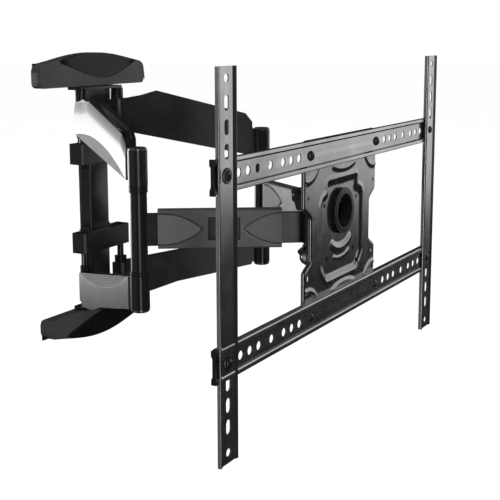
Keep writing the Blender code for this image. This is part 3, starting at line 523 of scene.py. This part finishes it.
def trough_section(half, rim, front, sink, back, run):
    """One side of a trough, from the flange's edge to the web, and the number of its last point. Front and
    back are the depths of the rims and of the flange's edge. Sink is the web's depth behind the rims, and
    run is the width of the slope between them."""
    r = 1.1 if rim > 3 else rim
    side = [(-half, back), (-half, min(back - 0.4, front + 2.4)), (-half, front + r)]
    side += [(-half + r * (1 - math.cos(a)), front + r * (1 - math.sin(a)))
             for a in (math.pi / 2 * i / 6 for i in range(1, 7))]
    inner = -half + rim
    if rim > 3:
        side += [(inner - r, front), (inner - r * 0.3, front + r * 0.25), (inner, front + r * 0.7)]
    side.append((inner + run, front + sink))
    return side, len(side) - 1


# Places and radii in millimetres from the middle of the VESA plate
RAIL_Z, RAIL_BOLT_X, BRACKET_X = 100, 100, 300
BOLT_HOLE = 3.3
RAIL_HOLES = (130, 150, 170, 200, 230, 250, 270)
RAIL_SINK, BRACKET_SINK = 2.6, 2.0              # webs behind the rims
RAIL_NOTCH = 18.7                               # half height of the bracket's notches over the rails
BRACKET_SLOTS = (175, 150, 125, -123, -147, -171)
BRACKET_ROUND = (200, -200)


def rail(level, z):
    """Level channel with a row of round holes on each side."""
    node = f"{level}_rail"
    low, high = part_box(node)
    half = (high.z - low.z) / 2 / MM
    front, back = (low.y - FRAME_Y) / MM, (high.y - FRAME_Y) / MM
    side, web = trough_section(half, 5.2, front, RAIL_SINK, back, 1.3)
    section = [(z + v, w) for v, w in side] + [(z - v, w) for v, w in reversed(side)]
    ends = high.x / MM
    holes = [hole_loop((s * x, z), 5.2) for s in (-1, 1) for x in RAIL_HOLES]
    holes += [hole_loop((s * x, z), BOLT_HOLE) for s in (-1, 1) for x in (RAIL_BOLT_X, BRACKET_X)]
    thing = channel(f"{node}_look", scaled(section), web, [(-ends * MM, ends * MM, False)],
                    [scaled(hole) for hole in holes], HEAD_VIEW, 1.5 * MM)
    settle(thing, BODY_OF[node], node)
    DONE.add(node)


def bracket(side):
    """Upright channel with slots, notched where it crosses the rails."""
    node = f"{WORD[side]}_vesa_bracket"
    low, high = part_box(node)
    x = side * BRACKET_X
    half = (high.x - low.x) / 2 / MM
    back = (high.y - FRAME_Y) / MM
    edge, web = trough_section(half, 1.6, 0.0, BRACKET_SINK, back, 5.0)
    section = [(x + v, w) for v, w in edge] + [(x - v, w) for v, w in reversed(edge)]
    tall = high.z / MM
    notches = [z + way * RAIL_NOTCH for z in (-RAIL_Z, RAIL_Z) for way in (-1, 1)]
    stops = [-tall] + notches + [tall]
    spans = [(a * MM, b * MM, i in (1, 3)) for i, (a, b) in enumerate(zip(stops, stops[1:]))]
    holes = [hole_loop((z, x), 4.6) for z in BRACKET_ROUND]
    holes += [hole_loop((z, x), BOLT_HOLE) for z in (-RAIL_Z, RAIL_Z)]
    for z in BRACKET_SLOTS:
        holes.append([(b, a) for a, b in slot_loop((x, z), 16.6, 8.8)])
    thing = channel(f"{node}_look", scaled(section), web, spans, [scaled(hole) for hole in holes],
                    BRACKET_VIEW, 1.4 * MM)
    settle(thing, BODY_OF[node], node)
    DONE.add(node)


BOLT_SIDES, BOLT_CREASE = 32, 30


def turned(name, centre, profile, frame):
    """A profile of (radius, depth) points in millimetres, turned about a place and closed at both ends."""
    bm = bmesh.new()
    rings = []
    for radius, depth in profile:
        ring = []
        for u, v in hole_loop(centre, radius, BOLT_SIDES):
            ring.append(bm.verts.new((u * MM, v * MM, depth * MM)))
        rings.append(ring)
    for lower, upper in zip(rings, rings[1:]):
        for i in range(BOLT_SIDES):
            j = (i + 1) % BOLT_SIDES
            bm.faces.new((lower[i], lower[j], upper[j], upper[i]))
    bm.faces.new(rings[0])
    bm.faces.new(rings[-1])
    return piece_from(bm, name, frame, BOLT_CREASE)


def frame_bolt(node, centre, seat, end, washer):
    """Washer and pan head with a round socket, on the sunk web of its channel."""
    face = seat - 1.3
    top = min(face - 1.5, (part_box(node)[0].y - FRAME_Y) / MM + 0.02)
    shank = [(3, end), (3, seat), (washer, seat), (washer + 0.2, seat - 0.5), (washer - 0.4, face)]
    head = [(5.6, face), (5.4, face - 0.5), (4.6, (face + top) / 2 - 0.4), (3.4, top + 0.1), (2.4, top)]
    socket = [(2.2, top + 0.3), (2.1, top + 1.4)]
    profile = shank + head + socket
    thing = turned(f"{node}_look", centre, profile, HEAD_VIEW)
    settle(thing, BODY_OF[node], node)
    DONE.add(node)


for level, z in (("top", RAIL_Z), ("bottom", -RAIL_Z)):
    rail(level, z)
    front = (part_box(f"{level}_rail")[0].y - FRAME_Y) / MM
    for side in (LEFT, RIGHT):
        frame_bolt(f"{level}_{WORD[side]}_rail_bolt", (side * RAIL_BOLT_X, z), front + RAIL_SINK, 14, 6.2)
        frame_bolt(f"{level}_{WORD[side]}_bracket_bolt", (side * BRACKET_X, z), BRACKET_SINK - 0.05, 8, 8.4)
for side in (LEFT, RIGHT):
    bracket(side)


# ---------------------------------------------------------------- arm frames

def joint_place(name):
    return Vector(JOINTS[name]["pos_m"])


ELBOW = {LEFT: joint_place("left_elbow"), RIGHT: joint_place("right_elbow")}
WALL_PIVOT = {LEFT: joint_place("extend"), RIGHT: joint_place("right_wall")}
HEAD_PIVOT = {LEFT: joint_place("left_head"), RIGHT: joint_place("left_head") * Vector((-1, 1, 1))}


def arm_frame(start, end, side):
    """u along the arm from start to end, v up, w towards the outer side of the arm."""
    along = (end - start).normalized()
    out = Vector((side, 0, 0))
    out = (out - along * out.dot(along)).normalized()
    turn = Matrix((along, Vector((0, 0, 1)), out)).transposed().to_4x4()
    return Matrix.Translation(start) @ turn


def arm_coordinates(g, frame):
    """Sockets with the distance along an arm and the height, in millimetres."""
    place = g.add("ShaderNodeTexCoord").outputs["Object"]
    start = frame.translation
    shifted = g.vector("SUBTRACT", place, start).outputs[0]
    along = tuple(frame.to_3x3().col[0] / MM)
    up = (0, 0, 1 / MM)
    u = g.vector("DOT_PRODUCT", shifted, along).outputs["Value"]
    v = g.vector("DOT_PRODUCT", shifted, up).outputs["Value"]
    return place, u, v


def inside_circle(g, u, v, centre, radius):
    """Socket with the depth inside a circle, negative outside it."""
    du, dv = g.math("SUBTRACT", u, centre[0]), g.math("SUBTRACT", v, centre[1])
    square = g.math("ADD", g.math("MULTIPLY", du, du), g.math("MULTIPLY", dv, dv))
    return g.math("SUBTRACT", radius, g.math("SQRT", square))


def dots(g, u, v, pitch):
    """Hexagonal dot pattern, 0 in the gaps to 1 in the middle of a dot."""
    wave = 2 * math.pi / pitch
    slanted = g.math("ADD", g.math("MULTIPLY", u, 0.5), g.math("MULTIPLY", v, 0.87))
    a = g.math("SINE", g.math("MULTIPLY", u, wave))
    b = g.math("SINE", g.math("MULTIPLY", slanted, wave))
    return g.spread(g.math("MULTIPLY", a, b), -0.3, 0.7, 0.0, 1.0)


# ---------------------------------------------------------------- front arm covers

LEAF_LENGTH, LEAF_HALF = 50, 20
LEAF_R = (LEAF_LENGTH ** 2 + LEAF_HALF ** 2) / (2 * LEAF_HALF)
LEAF_ENDS = (30, 182)                # where each leaf is widest, along the arm
LEAF_Z = 1.5                         # height of the leaves' middle line
COVER_GRID = 1.6 * MM
LEAF_STEP = 0.35                     # millimetres from the ground up to a leaf


def leaf_circles(end):
    return [((end, LEAF_Z + sign * (LEAF_R - LEAF_HALF)), LEAF_R) for sign in (-1, 1)]


def leaf_relief(u, v):
    """A shallow groove round each leaf, and the leaf itself raised a little."""
    total = np.zeros(u.shape)
    for end in LEAF_ENDS:
        (c0, r0), (c1, r1) = leaf_circles(end)
        depth = np.minimum(r0 - np.hypot(u - c0[0], v - c0[1]), r1 - np.hypot(u - c1[0], v - c1[1]))
        total += LEAF_STEP * ease(depth / 1.2) - 0.7 * bead(np.abs(depth), 1.3)
    return total


def cover_coat(name, frame):
    """Moulded cover: smooth satin ground, dotted leaves, and painted shade darkening the groove round each
    leaf.
    """
    g = Graph(name)
    place, u, v = arm_coordinates(g, frame)
    leaf = None
    for end in LEAF_ENDS:
        (c0, r0), (c1, r1) = leaf_circles(end)
        depth = g.math("MINIMUM", inside_circle(g, u, v, c0, r0), inside_circle(g, u, v, c1, r1))
        leaf = depth if leaf is None else g.math("MAXIMUM", leaf, depth)
    inner = g.spread(leaf, 0.4, 1.2, 0.0, 1.0)
    # Painted shade: a band along the groove round each leaf, blended almost to black below.
    line = g.math("SUBTRACT", 1.0, g.spread(g.math("ABSOLUTE", leaf), 0.3, 1.2, 0.0, 1.0))
    spot = g.math("MULTIPLY", dots(g, u, v, 2.6), inner)
    ground = g.blend(g.cloud(place, 22.0), grey(0.030), grey(0.040))
    dotted = g.blend(spot, grey(0.045), grey(0.095))
    base = g.blend(inner, ground, dotted)
    base = g.blend(line, base, grey(0.004))
    rough = g.spread(g.noise(place, 90.0, 3.0), 0.3, 0.7, 0.3, 0.38)
    grain = g.math("MULTIPLY", g.noise(place, FINE_GRAIN), 0.1)
    height = g.math("ADD", g.math("MULTIPLY", spot, 0.9), grain)
    g.connect(Base_Color=base, Roughness=rough, Normal=g.bump(height, 0.25 * MM, 0.7))
    return g.material


def front_arm_cover(side):
    """Cover sleeve with the leaf pattern on both sides."""
    node = f"{WORD[side]}_front_arm_cover"
    frame = arm_frame(ELBOW[side], HEAD_PIVOT[side], side)
    coat = cover_coat(f"{node}_coat", frame)
    cuts = ((0, evenly(22 * MM, 183 * MM, COVER_GRID)), (1, evenly(-23 * MM, 26 * MM, COVER_GRID)))
    bm = clean_copy(node)
    bm.transform(frame.inverted())
    level = max(vert.co.z for vert in bm.verts)
    for axis, places in cuts:
        slice_mesh(bm, axis, places)
    bmesh.ops.triangulate(bm, faces=[face for face in bm.faces if len(face.verts) > 4])
    press(bm, level, lambda u, v: leaf_relief(u / MM, v / MM) * MM - LEAF_STEP * MM)
    press(bm, -level, lambda u, v: LEAF_STEP * MM - leaf_relief(u / MM, v / MM) * MM)
    thing = piece_from(bm, f"{node}_look", frame)
    round_edges(thing, EDGE)
    settle(thing, BODY_OF[node], node, coat)
    DONE.add(node)


for side in (LEFT, RIGHT):
    front_arm_cover(side)


# ---------------------------------------------------------------- rear arm covers

UPPER_LENS = ((51.5, -180.6), 289.0)            # the dotted crescent along the lower edge
LOWER_LENS = ((51.7, 208.6), 311.8)             # the ribbed crescent along the upper edge
LOWER_CHORD = ((1, -99), (206.5, -62))
RIB_PITCH = 2.6
UPPER_GRID = 2.2 * MM


def below_chord(u, v):
    """Distance below the straight upper edge of the lower cover."""
    (u0, v0), (u1, v1) = LOWER_CHORD
    length = math.hypot(u1 - u0, v1 - v0)
    return ((u - u0) * (v1 - v0) - (v - v0) * (u1 - u0)) / length


UPPER_EDGE = ((1, 149), (16, 150), (35, 150), (59, 154), (190, 120), (200, 111), (206.5, 106))
ROLL = 17                                       # height over which the upper edge rolls back


def upper_relief(u, v):
    (cu, cv), r = UPPER_LENS
    depth = r - np.hypot(u - cu, v - cv)
    below = np.interp(u, *zip(*UPPER_EDGE)) - v
    return -0.55 * ease(depth / 1.4) - 2.3 * np.clip(1 - below / ROLL, 0, 1) ** 2


def lower_relief(u, v):
    (cu, cv), r = LOWER_LENS
    depth = r - np.hypot(u - cu, v - cv)
    ribs = 0.5 + 0.5 * np.cos(2 * math.pi * below_chord(u, v) / RIB_PITCH)
    return -0.45 * ease(depth / 4) * (0.15 + 0.85 * ribs)


def rear_coat(name, frame, upper):
    """Glossy moulded cover with a dotted crescent, or a plain one with painted shade darkening the edge of
    its sunken crescent.
    """
    g = Graph(name)
    place, u, v = arm_coordinates(g, frame)
    centre, radius = UPPER_LENS if upper else LOWER_LENS
    depth = inside_circle(g, u, v, centre, radius)
    inner = g.spread(depth, 0.2, 1.0, 0.0, 1.0)
    ground = g.blend(g.cloud(place, 18.0), grey(0.035), grey(0.05))
    if upper:
        spot = g.math("MULTIPLY", dots(g, u, v, 2.4), inner)
        crescent = g.blend(spot, grey(0.13), grey(0.30))
        height = spot
    else:
        crescent = grey(0.10)
        height = g.math("MULTIPLY", g.noise(place, FINE_GRAIN), 0.1)
    base = g.blend(inner, ground, crescent)
    # Painted shade: the lower cover's crescent edge is darkened in a band.
    if not upper:
        base = g.blend(g.spread(g.math("ABSOLUTE", depth), 0.4, 1.2, 1.0, 0.0), base, grey(0.008))
    gloss = g.spread(g.noise(place, 70.0, 3.0), 0.3, 0.7, 0.16, 0.2)
    rough = g.math("ADD", gloss, g.math("MULTIPLY", inner, 0.4))
    g.connect(Base_Color=base, Roughness=rough, Normal=g.bump(height, 0.2 * MM, 0.6))
    return g.material


def raise_upper_edge(bm):
    """Moves the upper edge of the upper cover up to the arm's rolled edge."""
    for vert in bm.verts:
        u, v = vert.co.x / MM, vert.co.y / MM
        if u < 203 and v > 134 - 0.2 * u:
            vert.co.y += float(np.interp(u, (16, 35, 59), (11, 7, 5))) * MM


def rear_arm_cover(side, level):
    """Outer cover with its crescent pressed in, smooth or ribbed."""
    node = f"{WORD[side]}_{level}_rear_arm_cover"
    frame = arm_frame(WALL_PIVOT[side], ELBOW[side], side)
    upper = level == "upper"
    bm = clean_copy(node)
    bm.transform(frame.inverted())
    outer = max(vert.co.z for vert in bm.verts)
    if upper:
        raise_upper_edge(bm)
        slice_mesh(bm, 0, evenly(3 * MM, 205 * MM, UPPER_GRID))
        slice_mesh(bm, 1, evenly(64 * MM, 148 * MM, UPPER_GRID))
    else:
        (u0, v0), (u1, v1) = LOWER_CHORD
        along = Vector((u1 - u0, v1 - v0, 0)).normalized()
        down = Vector((along.y, -along.x, 0))
        start = Vector((u0, v0, 0)) * MM
        first = start.dot(down)
        begin = start.dot(along)
        slice_mesh(bm, along, evenly(begin + 2 * MM, begin + 207 * MM, 3 * MM))
        slice_mesh(bm, down, evenly(first + 0.3 * MM, first + 21 * MM, RIB_PITCH / 4 * MM))
    bmesh.ops.triangulate(bm, faces=[face for face in bm.faces if len(face.verts) > 4])
    relief = upper_relief if upper else lower_relief
    press(bm, outer, lambda u, v: relief(u / MM, v / MM) * MM)
    thing = piece_from(bm, f"{node}_look", frame)
    round_edges(thing, 0.6 * MM, 3)
    settle(thing, BODY_OF[node], node, rear_coat(f"{node}_coat", frame, upper))
    DONE.add(node)


ARM_FACE = 9.5 * MM                             # outer side of the rear arms
ARM_ROLL = 11 * MM
ROLL_FROM, ROLL_TO = 30 * MM, 204 * MM          # stretch of the rolled edge along the arm
ROLL_SLOPE, ROLL_HEIGHT = 0.27, 150 * MM        # line that the upper edge stays above
SHORTEST_ROLL = 12 * MM


def rear_arm(side, level):
    """Folded arm. The upper outer edge of the upper arm is rolled over."""
    node = f"{WORD[side]}_{level}_rear_arm"
    frame = arm_frame(WALL_PIVOT[side], ELBOW[side], side)
    bm = clean_copy(node)
    bm.transform(frame.inverted())
    bm.normal_update()
    rolled = []
    for edge in bm.edges:
        ends = [vert.co for vert in edge.verts]
        outer = all(abs(end.z - ARM_FACE) < 0.1 * MM and ROLL_FROM < end.x < ROLL_TO for end in ends)
        high = all(end.y + ROLL_SLOPE * end.x > ROLL_HEIGHT for end in ends)
        beside_top = edge.link_faces and max(abs(face.normal.y) for face in edge.link_faces) > 0.5
        if level == "upper" and outer and high and beside_top and edge.calc_length() > SHORTEST_ROLL:
            rolled.append(edge)
    if rolled:
        bmesh.ops.bevel(bm, geom=rolled, offset=ARM_ROLL, segments=7, profile=0.5, affect="EDGES",
                        clamp_overlap=False)
    thing = piece_from(bm, f"{node}_look", frame)
    round_edges(thing, EDGE)
    settle(thing, BODY_OF[node], node)
    DONE.add(node)


for side in (LEFT, RIGHT):
    for level in ("upper", "lower"):
        rear_arm_cover(side, level)
        rear_arm(side, level)


# ---------------------------------------------------------------- wall covers

SHARP = 0.6                                     # radians between faces that meet at an edge of a panel


def rounded_copy(node, frame, level, cuts, relief, width, segments):
    """A CAD node with relief in the face at a level and wide rounded edges round that face."""
    bm = clean_copy(node)
    bm.transform(frame.inverted())
    at_level = [edge for edge in bm.edges if all(abs(vert.co.z - level) < 0.05 * MM for vert in edge.verts)]
    rim = [edge for edge in at_level if edge.calc_face_angle(0) > SHARP]
    bmesh.ops.bevel(bm, geom=rim, offset=width, segments=segments, profile=0.5, affect="EDGES",
                    clamp_overlap=True)
    for axis, places in cuts:
        slice_mesh(bm, axis, places)
    bmesh.ops.triangulate(bm, faces=[face for face in bm.faces if len(face.verts) > 4])
    press(bm, level, relief)
    return piece_from(bm, f"{node}_look", frame)


SEAM_FROM_END, SEAM_R = 17 * MM, 11 * MM


def wall_cover(level):
    """Moulded cover with rolled edges and a seam inside each end, and its smooth inlay."""
    node = f"{level}_cover"
    low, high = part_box(node)
    edge, step = 3 * MM, 1.8 * MM
    cuts = ((0, evenly(low.x + edge, high.x - edge, step)), (1, evenly(low.z + edge, high.z - edge, step)))
    middle = (low.z + high.z) / 2

    def seam(u, v):
        """Round groove inside each end."""
        past = np.abs(u) - (high.x - SEAM_FROM_END)
        line = bead(np.abs(np.hypot(np.maximum(past, 0), v - middle) - SEAM_R), 1.1 * MM)
        return np.where(past > 0, 0.5 * MM * line, 0.0)

    thing = rounded_copy(node, WALL_VIEW, low.y, cuts, seam, 2.6 * MM, 4)
    settle(thing, BODY_OF[node], node, COVER_COAT)
    DONE.add(node)
    node = f"{level}_cover_inlay"
    low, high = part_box(node)
    cuts = ((0, evenly(low.x, high.x, 4 * MM)), (1, evenly(low.z, high.z, 3 * MM)))
    thing = rounded_copy(node, WALL_VIEW, low.y, cuts, lambda u, v: 0 * u, 0.6 * MM, 2)
    settle(thing, BODY_OF[node], node, INLAY_COAT)
    DONE.add(node)


COVER_RIBS = 1.5 * MM


def ribbed_cover_coat():
    """Satin moulded plastic with fine level ribs, and painted shade in stripes along the ribs."""
    g = Graph("cover_ribbed")
    place = g.add("ShaderNodeTexCoord").outputs["Object"]
    height = g.add("ShaderNodeSeparateXYZ", {0: place}).outputs["Z"]
    wave = g.math("SINE", g.math("MULTIPLY", height, 2 * math.pi / COVER_RIBS))
    base = g.blend(g.cloud(place, 22.0), grey(0.028), grey(0.038))
    # Painted shade: the ribs' wave darkens the colour in stripes, in step with their bumps.
    base = g.blend(g.spread(wave, -1, 1, 0.0, 0.35), base, grey(0.018))
    rough = g.spread(g.noise(place, 90.0, 3.0), 0.3, 0.7, 0.36, 0.44)
    ribs = g.bump(wave, 0.08 * MM, 0.5)
    g.connect(Base_Color=base, Roughness=rough, Normal=ribs, Specular_IOR_Level=0.25)
    return g.material


COVER_COAT = ribbed_cover_coat()
INLAY_COAT = plastic("inlay_gloss", 0.003, 0.005, 0.16, 0.12)
for level in ("top", "bottom"):
    wall_cover(level)


# ---------------------------------------------------------------- wall column

GUSSET_EDGE = 1.2 * MM
# In millimetres; the gussets and the cheeks run from their fronts back into the column
COLUMN_HALF, INTO_COLUMN = 21.5, 2
GUSSET_FRONT, CHEEK_FRONT, GUSSET_BACK = -19.5, -23.5, -6.0
CHEEK_WIDTH = 6.5


def gusset(z, way, reach):
    """Outline of a fillet beside the column, from a level z upwards (way 1) or downwards (way -1)."""
    inner, outer = COLUMN_HALF - INTO_COLUMN, COLUMN_HALF + reach
    outline = [(inner, z), (outer, z)]
    for i in range(1, 9):
        a = math.pi / 2 * i / 8
        outline.append((outer - reach * math.sin(a), z + way * (reach - reach * math.cos(a))))
    return outline + [(inner, z + way * reach)]


def wall_column():
    """The column, with gussets where the hinge brackets pass and a cheek on each side at the top."""
    refine("wall_column")
    low_hinge, high_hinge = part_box("lower_hinge_bracket"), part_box("upper_hinge_bracket")
    base, top = high_hinge[1].z / MM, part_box("wall_column")[1].z / MM
    inner, outer = COLUMN_HALF - INTO_COLUMN, COLUMN_HALF + CHEEK_WIDTH
    places = ((high_hinge[0].z / MM, -1, 12), (base, 1, 10), (low_hinge[1].z / MM, 1, 12))
    shapes = [(gusset(*place), GUSSET_FRONT) for place in places]
    shapes.append(([(inner, base), (outer, base), (outer, top), (inner, top)], CHEEK_FRONT))
    bm = bmesh.new()
    for side in (LEFT, RIGHT):
        for outline, front in shapes:
            rings = []
            for y in (GUSSET_BACK, front):
                rings.append([bm.verts.new((side * x * MM, y * MM, z * MM)) for x, z in outline])
            back_ring, front_ring = rings
            bm.faces.new(back_ring)
            bm.faces.new(front_ring)
            for i in range(len(outline)):
                j = (i + 1) % len(outline)
                bm.faces.new((back_ring[i], back_ring[j], front_ring[j], front_ring[i]))
    extra = piece_from(bm, "wall_column_gussets")
    round_edges(extra, GUSSET_EDGE, 3)
    settle(extra, BODY_OF["wall_column"], None, None, SLOT_OF["wall_column"])


wall_column()
DONE.add("wall_column")


TUBE_COAT = powder_coat("elbow_tube_coat", 0.10, 0.125, 0.17, 0.9, 0.08)
for side in (LEFT, RIGHT):
    pin = f"{WORD[side]}_elbow_pin"
    refine(pin, material=TUBE_COAT)
    DONE.add(pin)

for cad_node in NODES:
    if cad_node not in DONE:
        refine(cad_node)


# ---------------------------------------------------------------- studio

def studio():
    """White floor below the set, left out of reflections."""
    bm = bmesh.new()
    bmesh.ops.create_grid(bm, x_segments=40, y_segments=40, size=30)
    mesh = bpy.data.meshes.new("studio_floor")
    bm.to_mesh(mesh)
    bm.free()
    floor = bpy.data.objects.new("studio_floor", mesh)
    floor.location = (0, 0, CAD_BOX[0][2] - 0.5)
    bpy.context.collection.objects.link(floor)
    g = Graph("studio_floor")
    place = g.add("ShaderNodeTexCoord").outputs["Object"]
    tone = g.blend(g.noise(place, 3.0), (0.93, 0.93, 0.93, 1), (0.95, 0.95, 0.95, 1))
    g.connect(Base_Color=tone, Roughness=0.95, Specular_IOR_Level=0.0)
    mesh.materials.append(g.material)
    floor.visible_glossy = False


def window(g, direction, azimuth, half, soft, heights):
    """Brightness of a tall soft panel round the set: its azimuth, half width and softness in degrees,
    and (slope, level) stops up its height."""
    flat = g.vector("MULTIPLY", direction, (1, 1, 0)).outputs[0]
    flat = g.vector("NORMALIZE", flat).outputs[0]
    centre = (math.cos(math.radians(azimuth)), math.sin(math.radians(azimuth)), 0)
    facing = g.vector("DOT_PRODUCT", flat, centre).outputs["Value"]
    dark_from = math.cos(math.radians(half + soft))
    full_from = math.cos(math.radians(max(0, half - soft)))
    across = g.spread(facing, dark_from, full_from, 0.0, 1.0, "SMOOTHSTEP")
    slope = g.add("ShaderNodeSeparateXYZ", {0: direction}).outputs["Z"]
    place = g.spread(slope, -1, 1, 0.0, 1.0)
    ramp = g.add("ShaderNodeValToRGB", {"Fac": place})
    band = ramp.color_ramp
    peak = max(level for z, level in heights)
    while len(band.elements) > 1:
        band.elements.remove(band.elements[-1])
    for i, (z, level) in enumerate(heights):
        element = band.elements[0] if i == 0 else band.elements.new((z + 1) / 2)
        element.position = (z + 1) / 2
        element.color = (level / peak, level / peak, level / peak, 1)
    up = g.math("MULTIPLY", ramp.outputs["Color"], peak)
    return g.math("MULTIPLY", across, up)


# Brightness up the height of each panel, as (slope, level) stops
RIGHT_PANEL = ((-1.0, 0.0), (-0.34, 0.01), (-0.26, 0.02), (-0.21, 0.03), (-0.18, 0.12), (-0.15, 0.95),
               (-0.13, 1.45), (-0.05, 1.6), (0.3, 1.2), (0.5, 0.3), (0.7, 0.12), (1.0, 0.05))
WALL_PANEL = ((-1.0, 0.0), (-0.34, 0.05), (-0.28, 0.15), (-0.24, 0.45), (-0.17, 6.0), (-0.13, 9.0),
              (-0.08, 6.0), (-0.04, 3.0), (0.3, 0.6), (1.0, 0.2))
STRIP_PANEL = ((-1.0, 0.5), (-0.5, 4.0), (0.0, 6.5), (0.6, 4.5), (1.0, 0.5))
SIDE_PANEL = ((-1.0, 0.05), (-0.45, 0.25), (-0.2, 0.42), (0.1, 0.35), (0.5, 0.1), (1.0, 0.05))
# Azimuth, half width and softness in degrees, and the stops
PANELS = ((-32, 24, 8, RIGHT_PANEL), (78, 20, 12, WALL_PANEL), (-136, 5, 2, STRIP_PANEL),
          (152, 24, 10, SIDE_PANEL))
DOME_LEVEL, DARK_LEVEL = 1.05, 0.015


def sky():
    """White dome for the eye and for soft light; shiny faces see dark surroundings and four soft panels."""
    g = Graph("studio_sky", world=True)
    bpy.context.scene.world = g.material
    direction = g.add("ShaderNodeTexCoord").outputs["Generated"]
    level = DARK_LEVEL
    for panel in PANELS:
        level = g.math("ADD", window(g, direction, *panel), level)
    plain = g.tree.nodes["Background"]
    plain.inputs["Color"].default_value = (1, 1, 1, 1)
    plain.inputs["Strength"].default_value = DOME_LEVEL
    shiny = g.add("ShaderNodeBackground", {"Strength": level})
    glossy = g.add("ShaderNodeLightPath").outputs["Is Glossy Ray"]
    mixed = g.add("ShaderNodeMixShader", {0: glossy, 1: plain.outputs[0], 2: shiny.outputs[0]})
    g.tree.links.new(mixed.outputs[0], g.tree.nodes["World Output"].inputs["Surface"])


def area_light(name, place, aim, size, power, glossy):
    """Rectangular lamp turned towards a point."""
    data = bpy.data.lights.new(name, "AREA")
    data.shape = "RECTANGLE"
    data.size, data.size_y = size
    data.energy = power
    lamp = bpy.data.objects.new(name, data)
    lamp.location = place
    lamp.rotation_mode = "QUATERNION"
    lamp.rotation_quaternion = (Vector(aim) - Vector(place)).to_track_quat("-Z", "Y")
    lamp.visible_glossy = glossy
    bpy.context.collection.objects.link(lamp)


def camera():
    """The photo's own viewpoint, fitted to points read off the photo."""
    data = bpy.data.cameras.new("photo_camera")
    data.sensor_width = 36
    data.lens = 73.3
    data.shift_x = -0.0014
    data.shift_y = -0.0888
    data.clip_end = 200
    shooter = bpy.data.objects.new("photo_camera", data)
    shooter.location = (-1.1875, FRAME_Y - 0.5334, 0.2414)
    shooter.rotation_euler = (1.4060, 0.0022, -1.0518)
    bpy.context.collection.objects.link(shooter)
    bpy.context.scene.camera = shooter


studio()
sky()
camera()
area_light("key_above", (-1.2, -2.2, 2.6), (0, -0.25, 0), (2.0, 1.2), 60, False)
bpy.context.scene.view_settings.view_transform = "Standard"
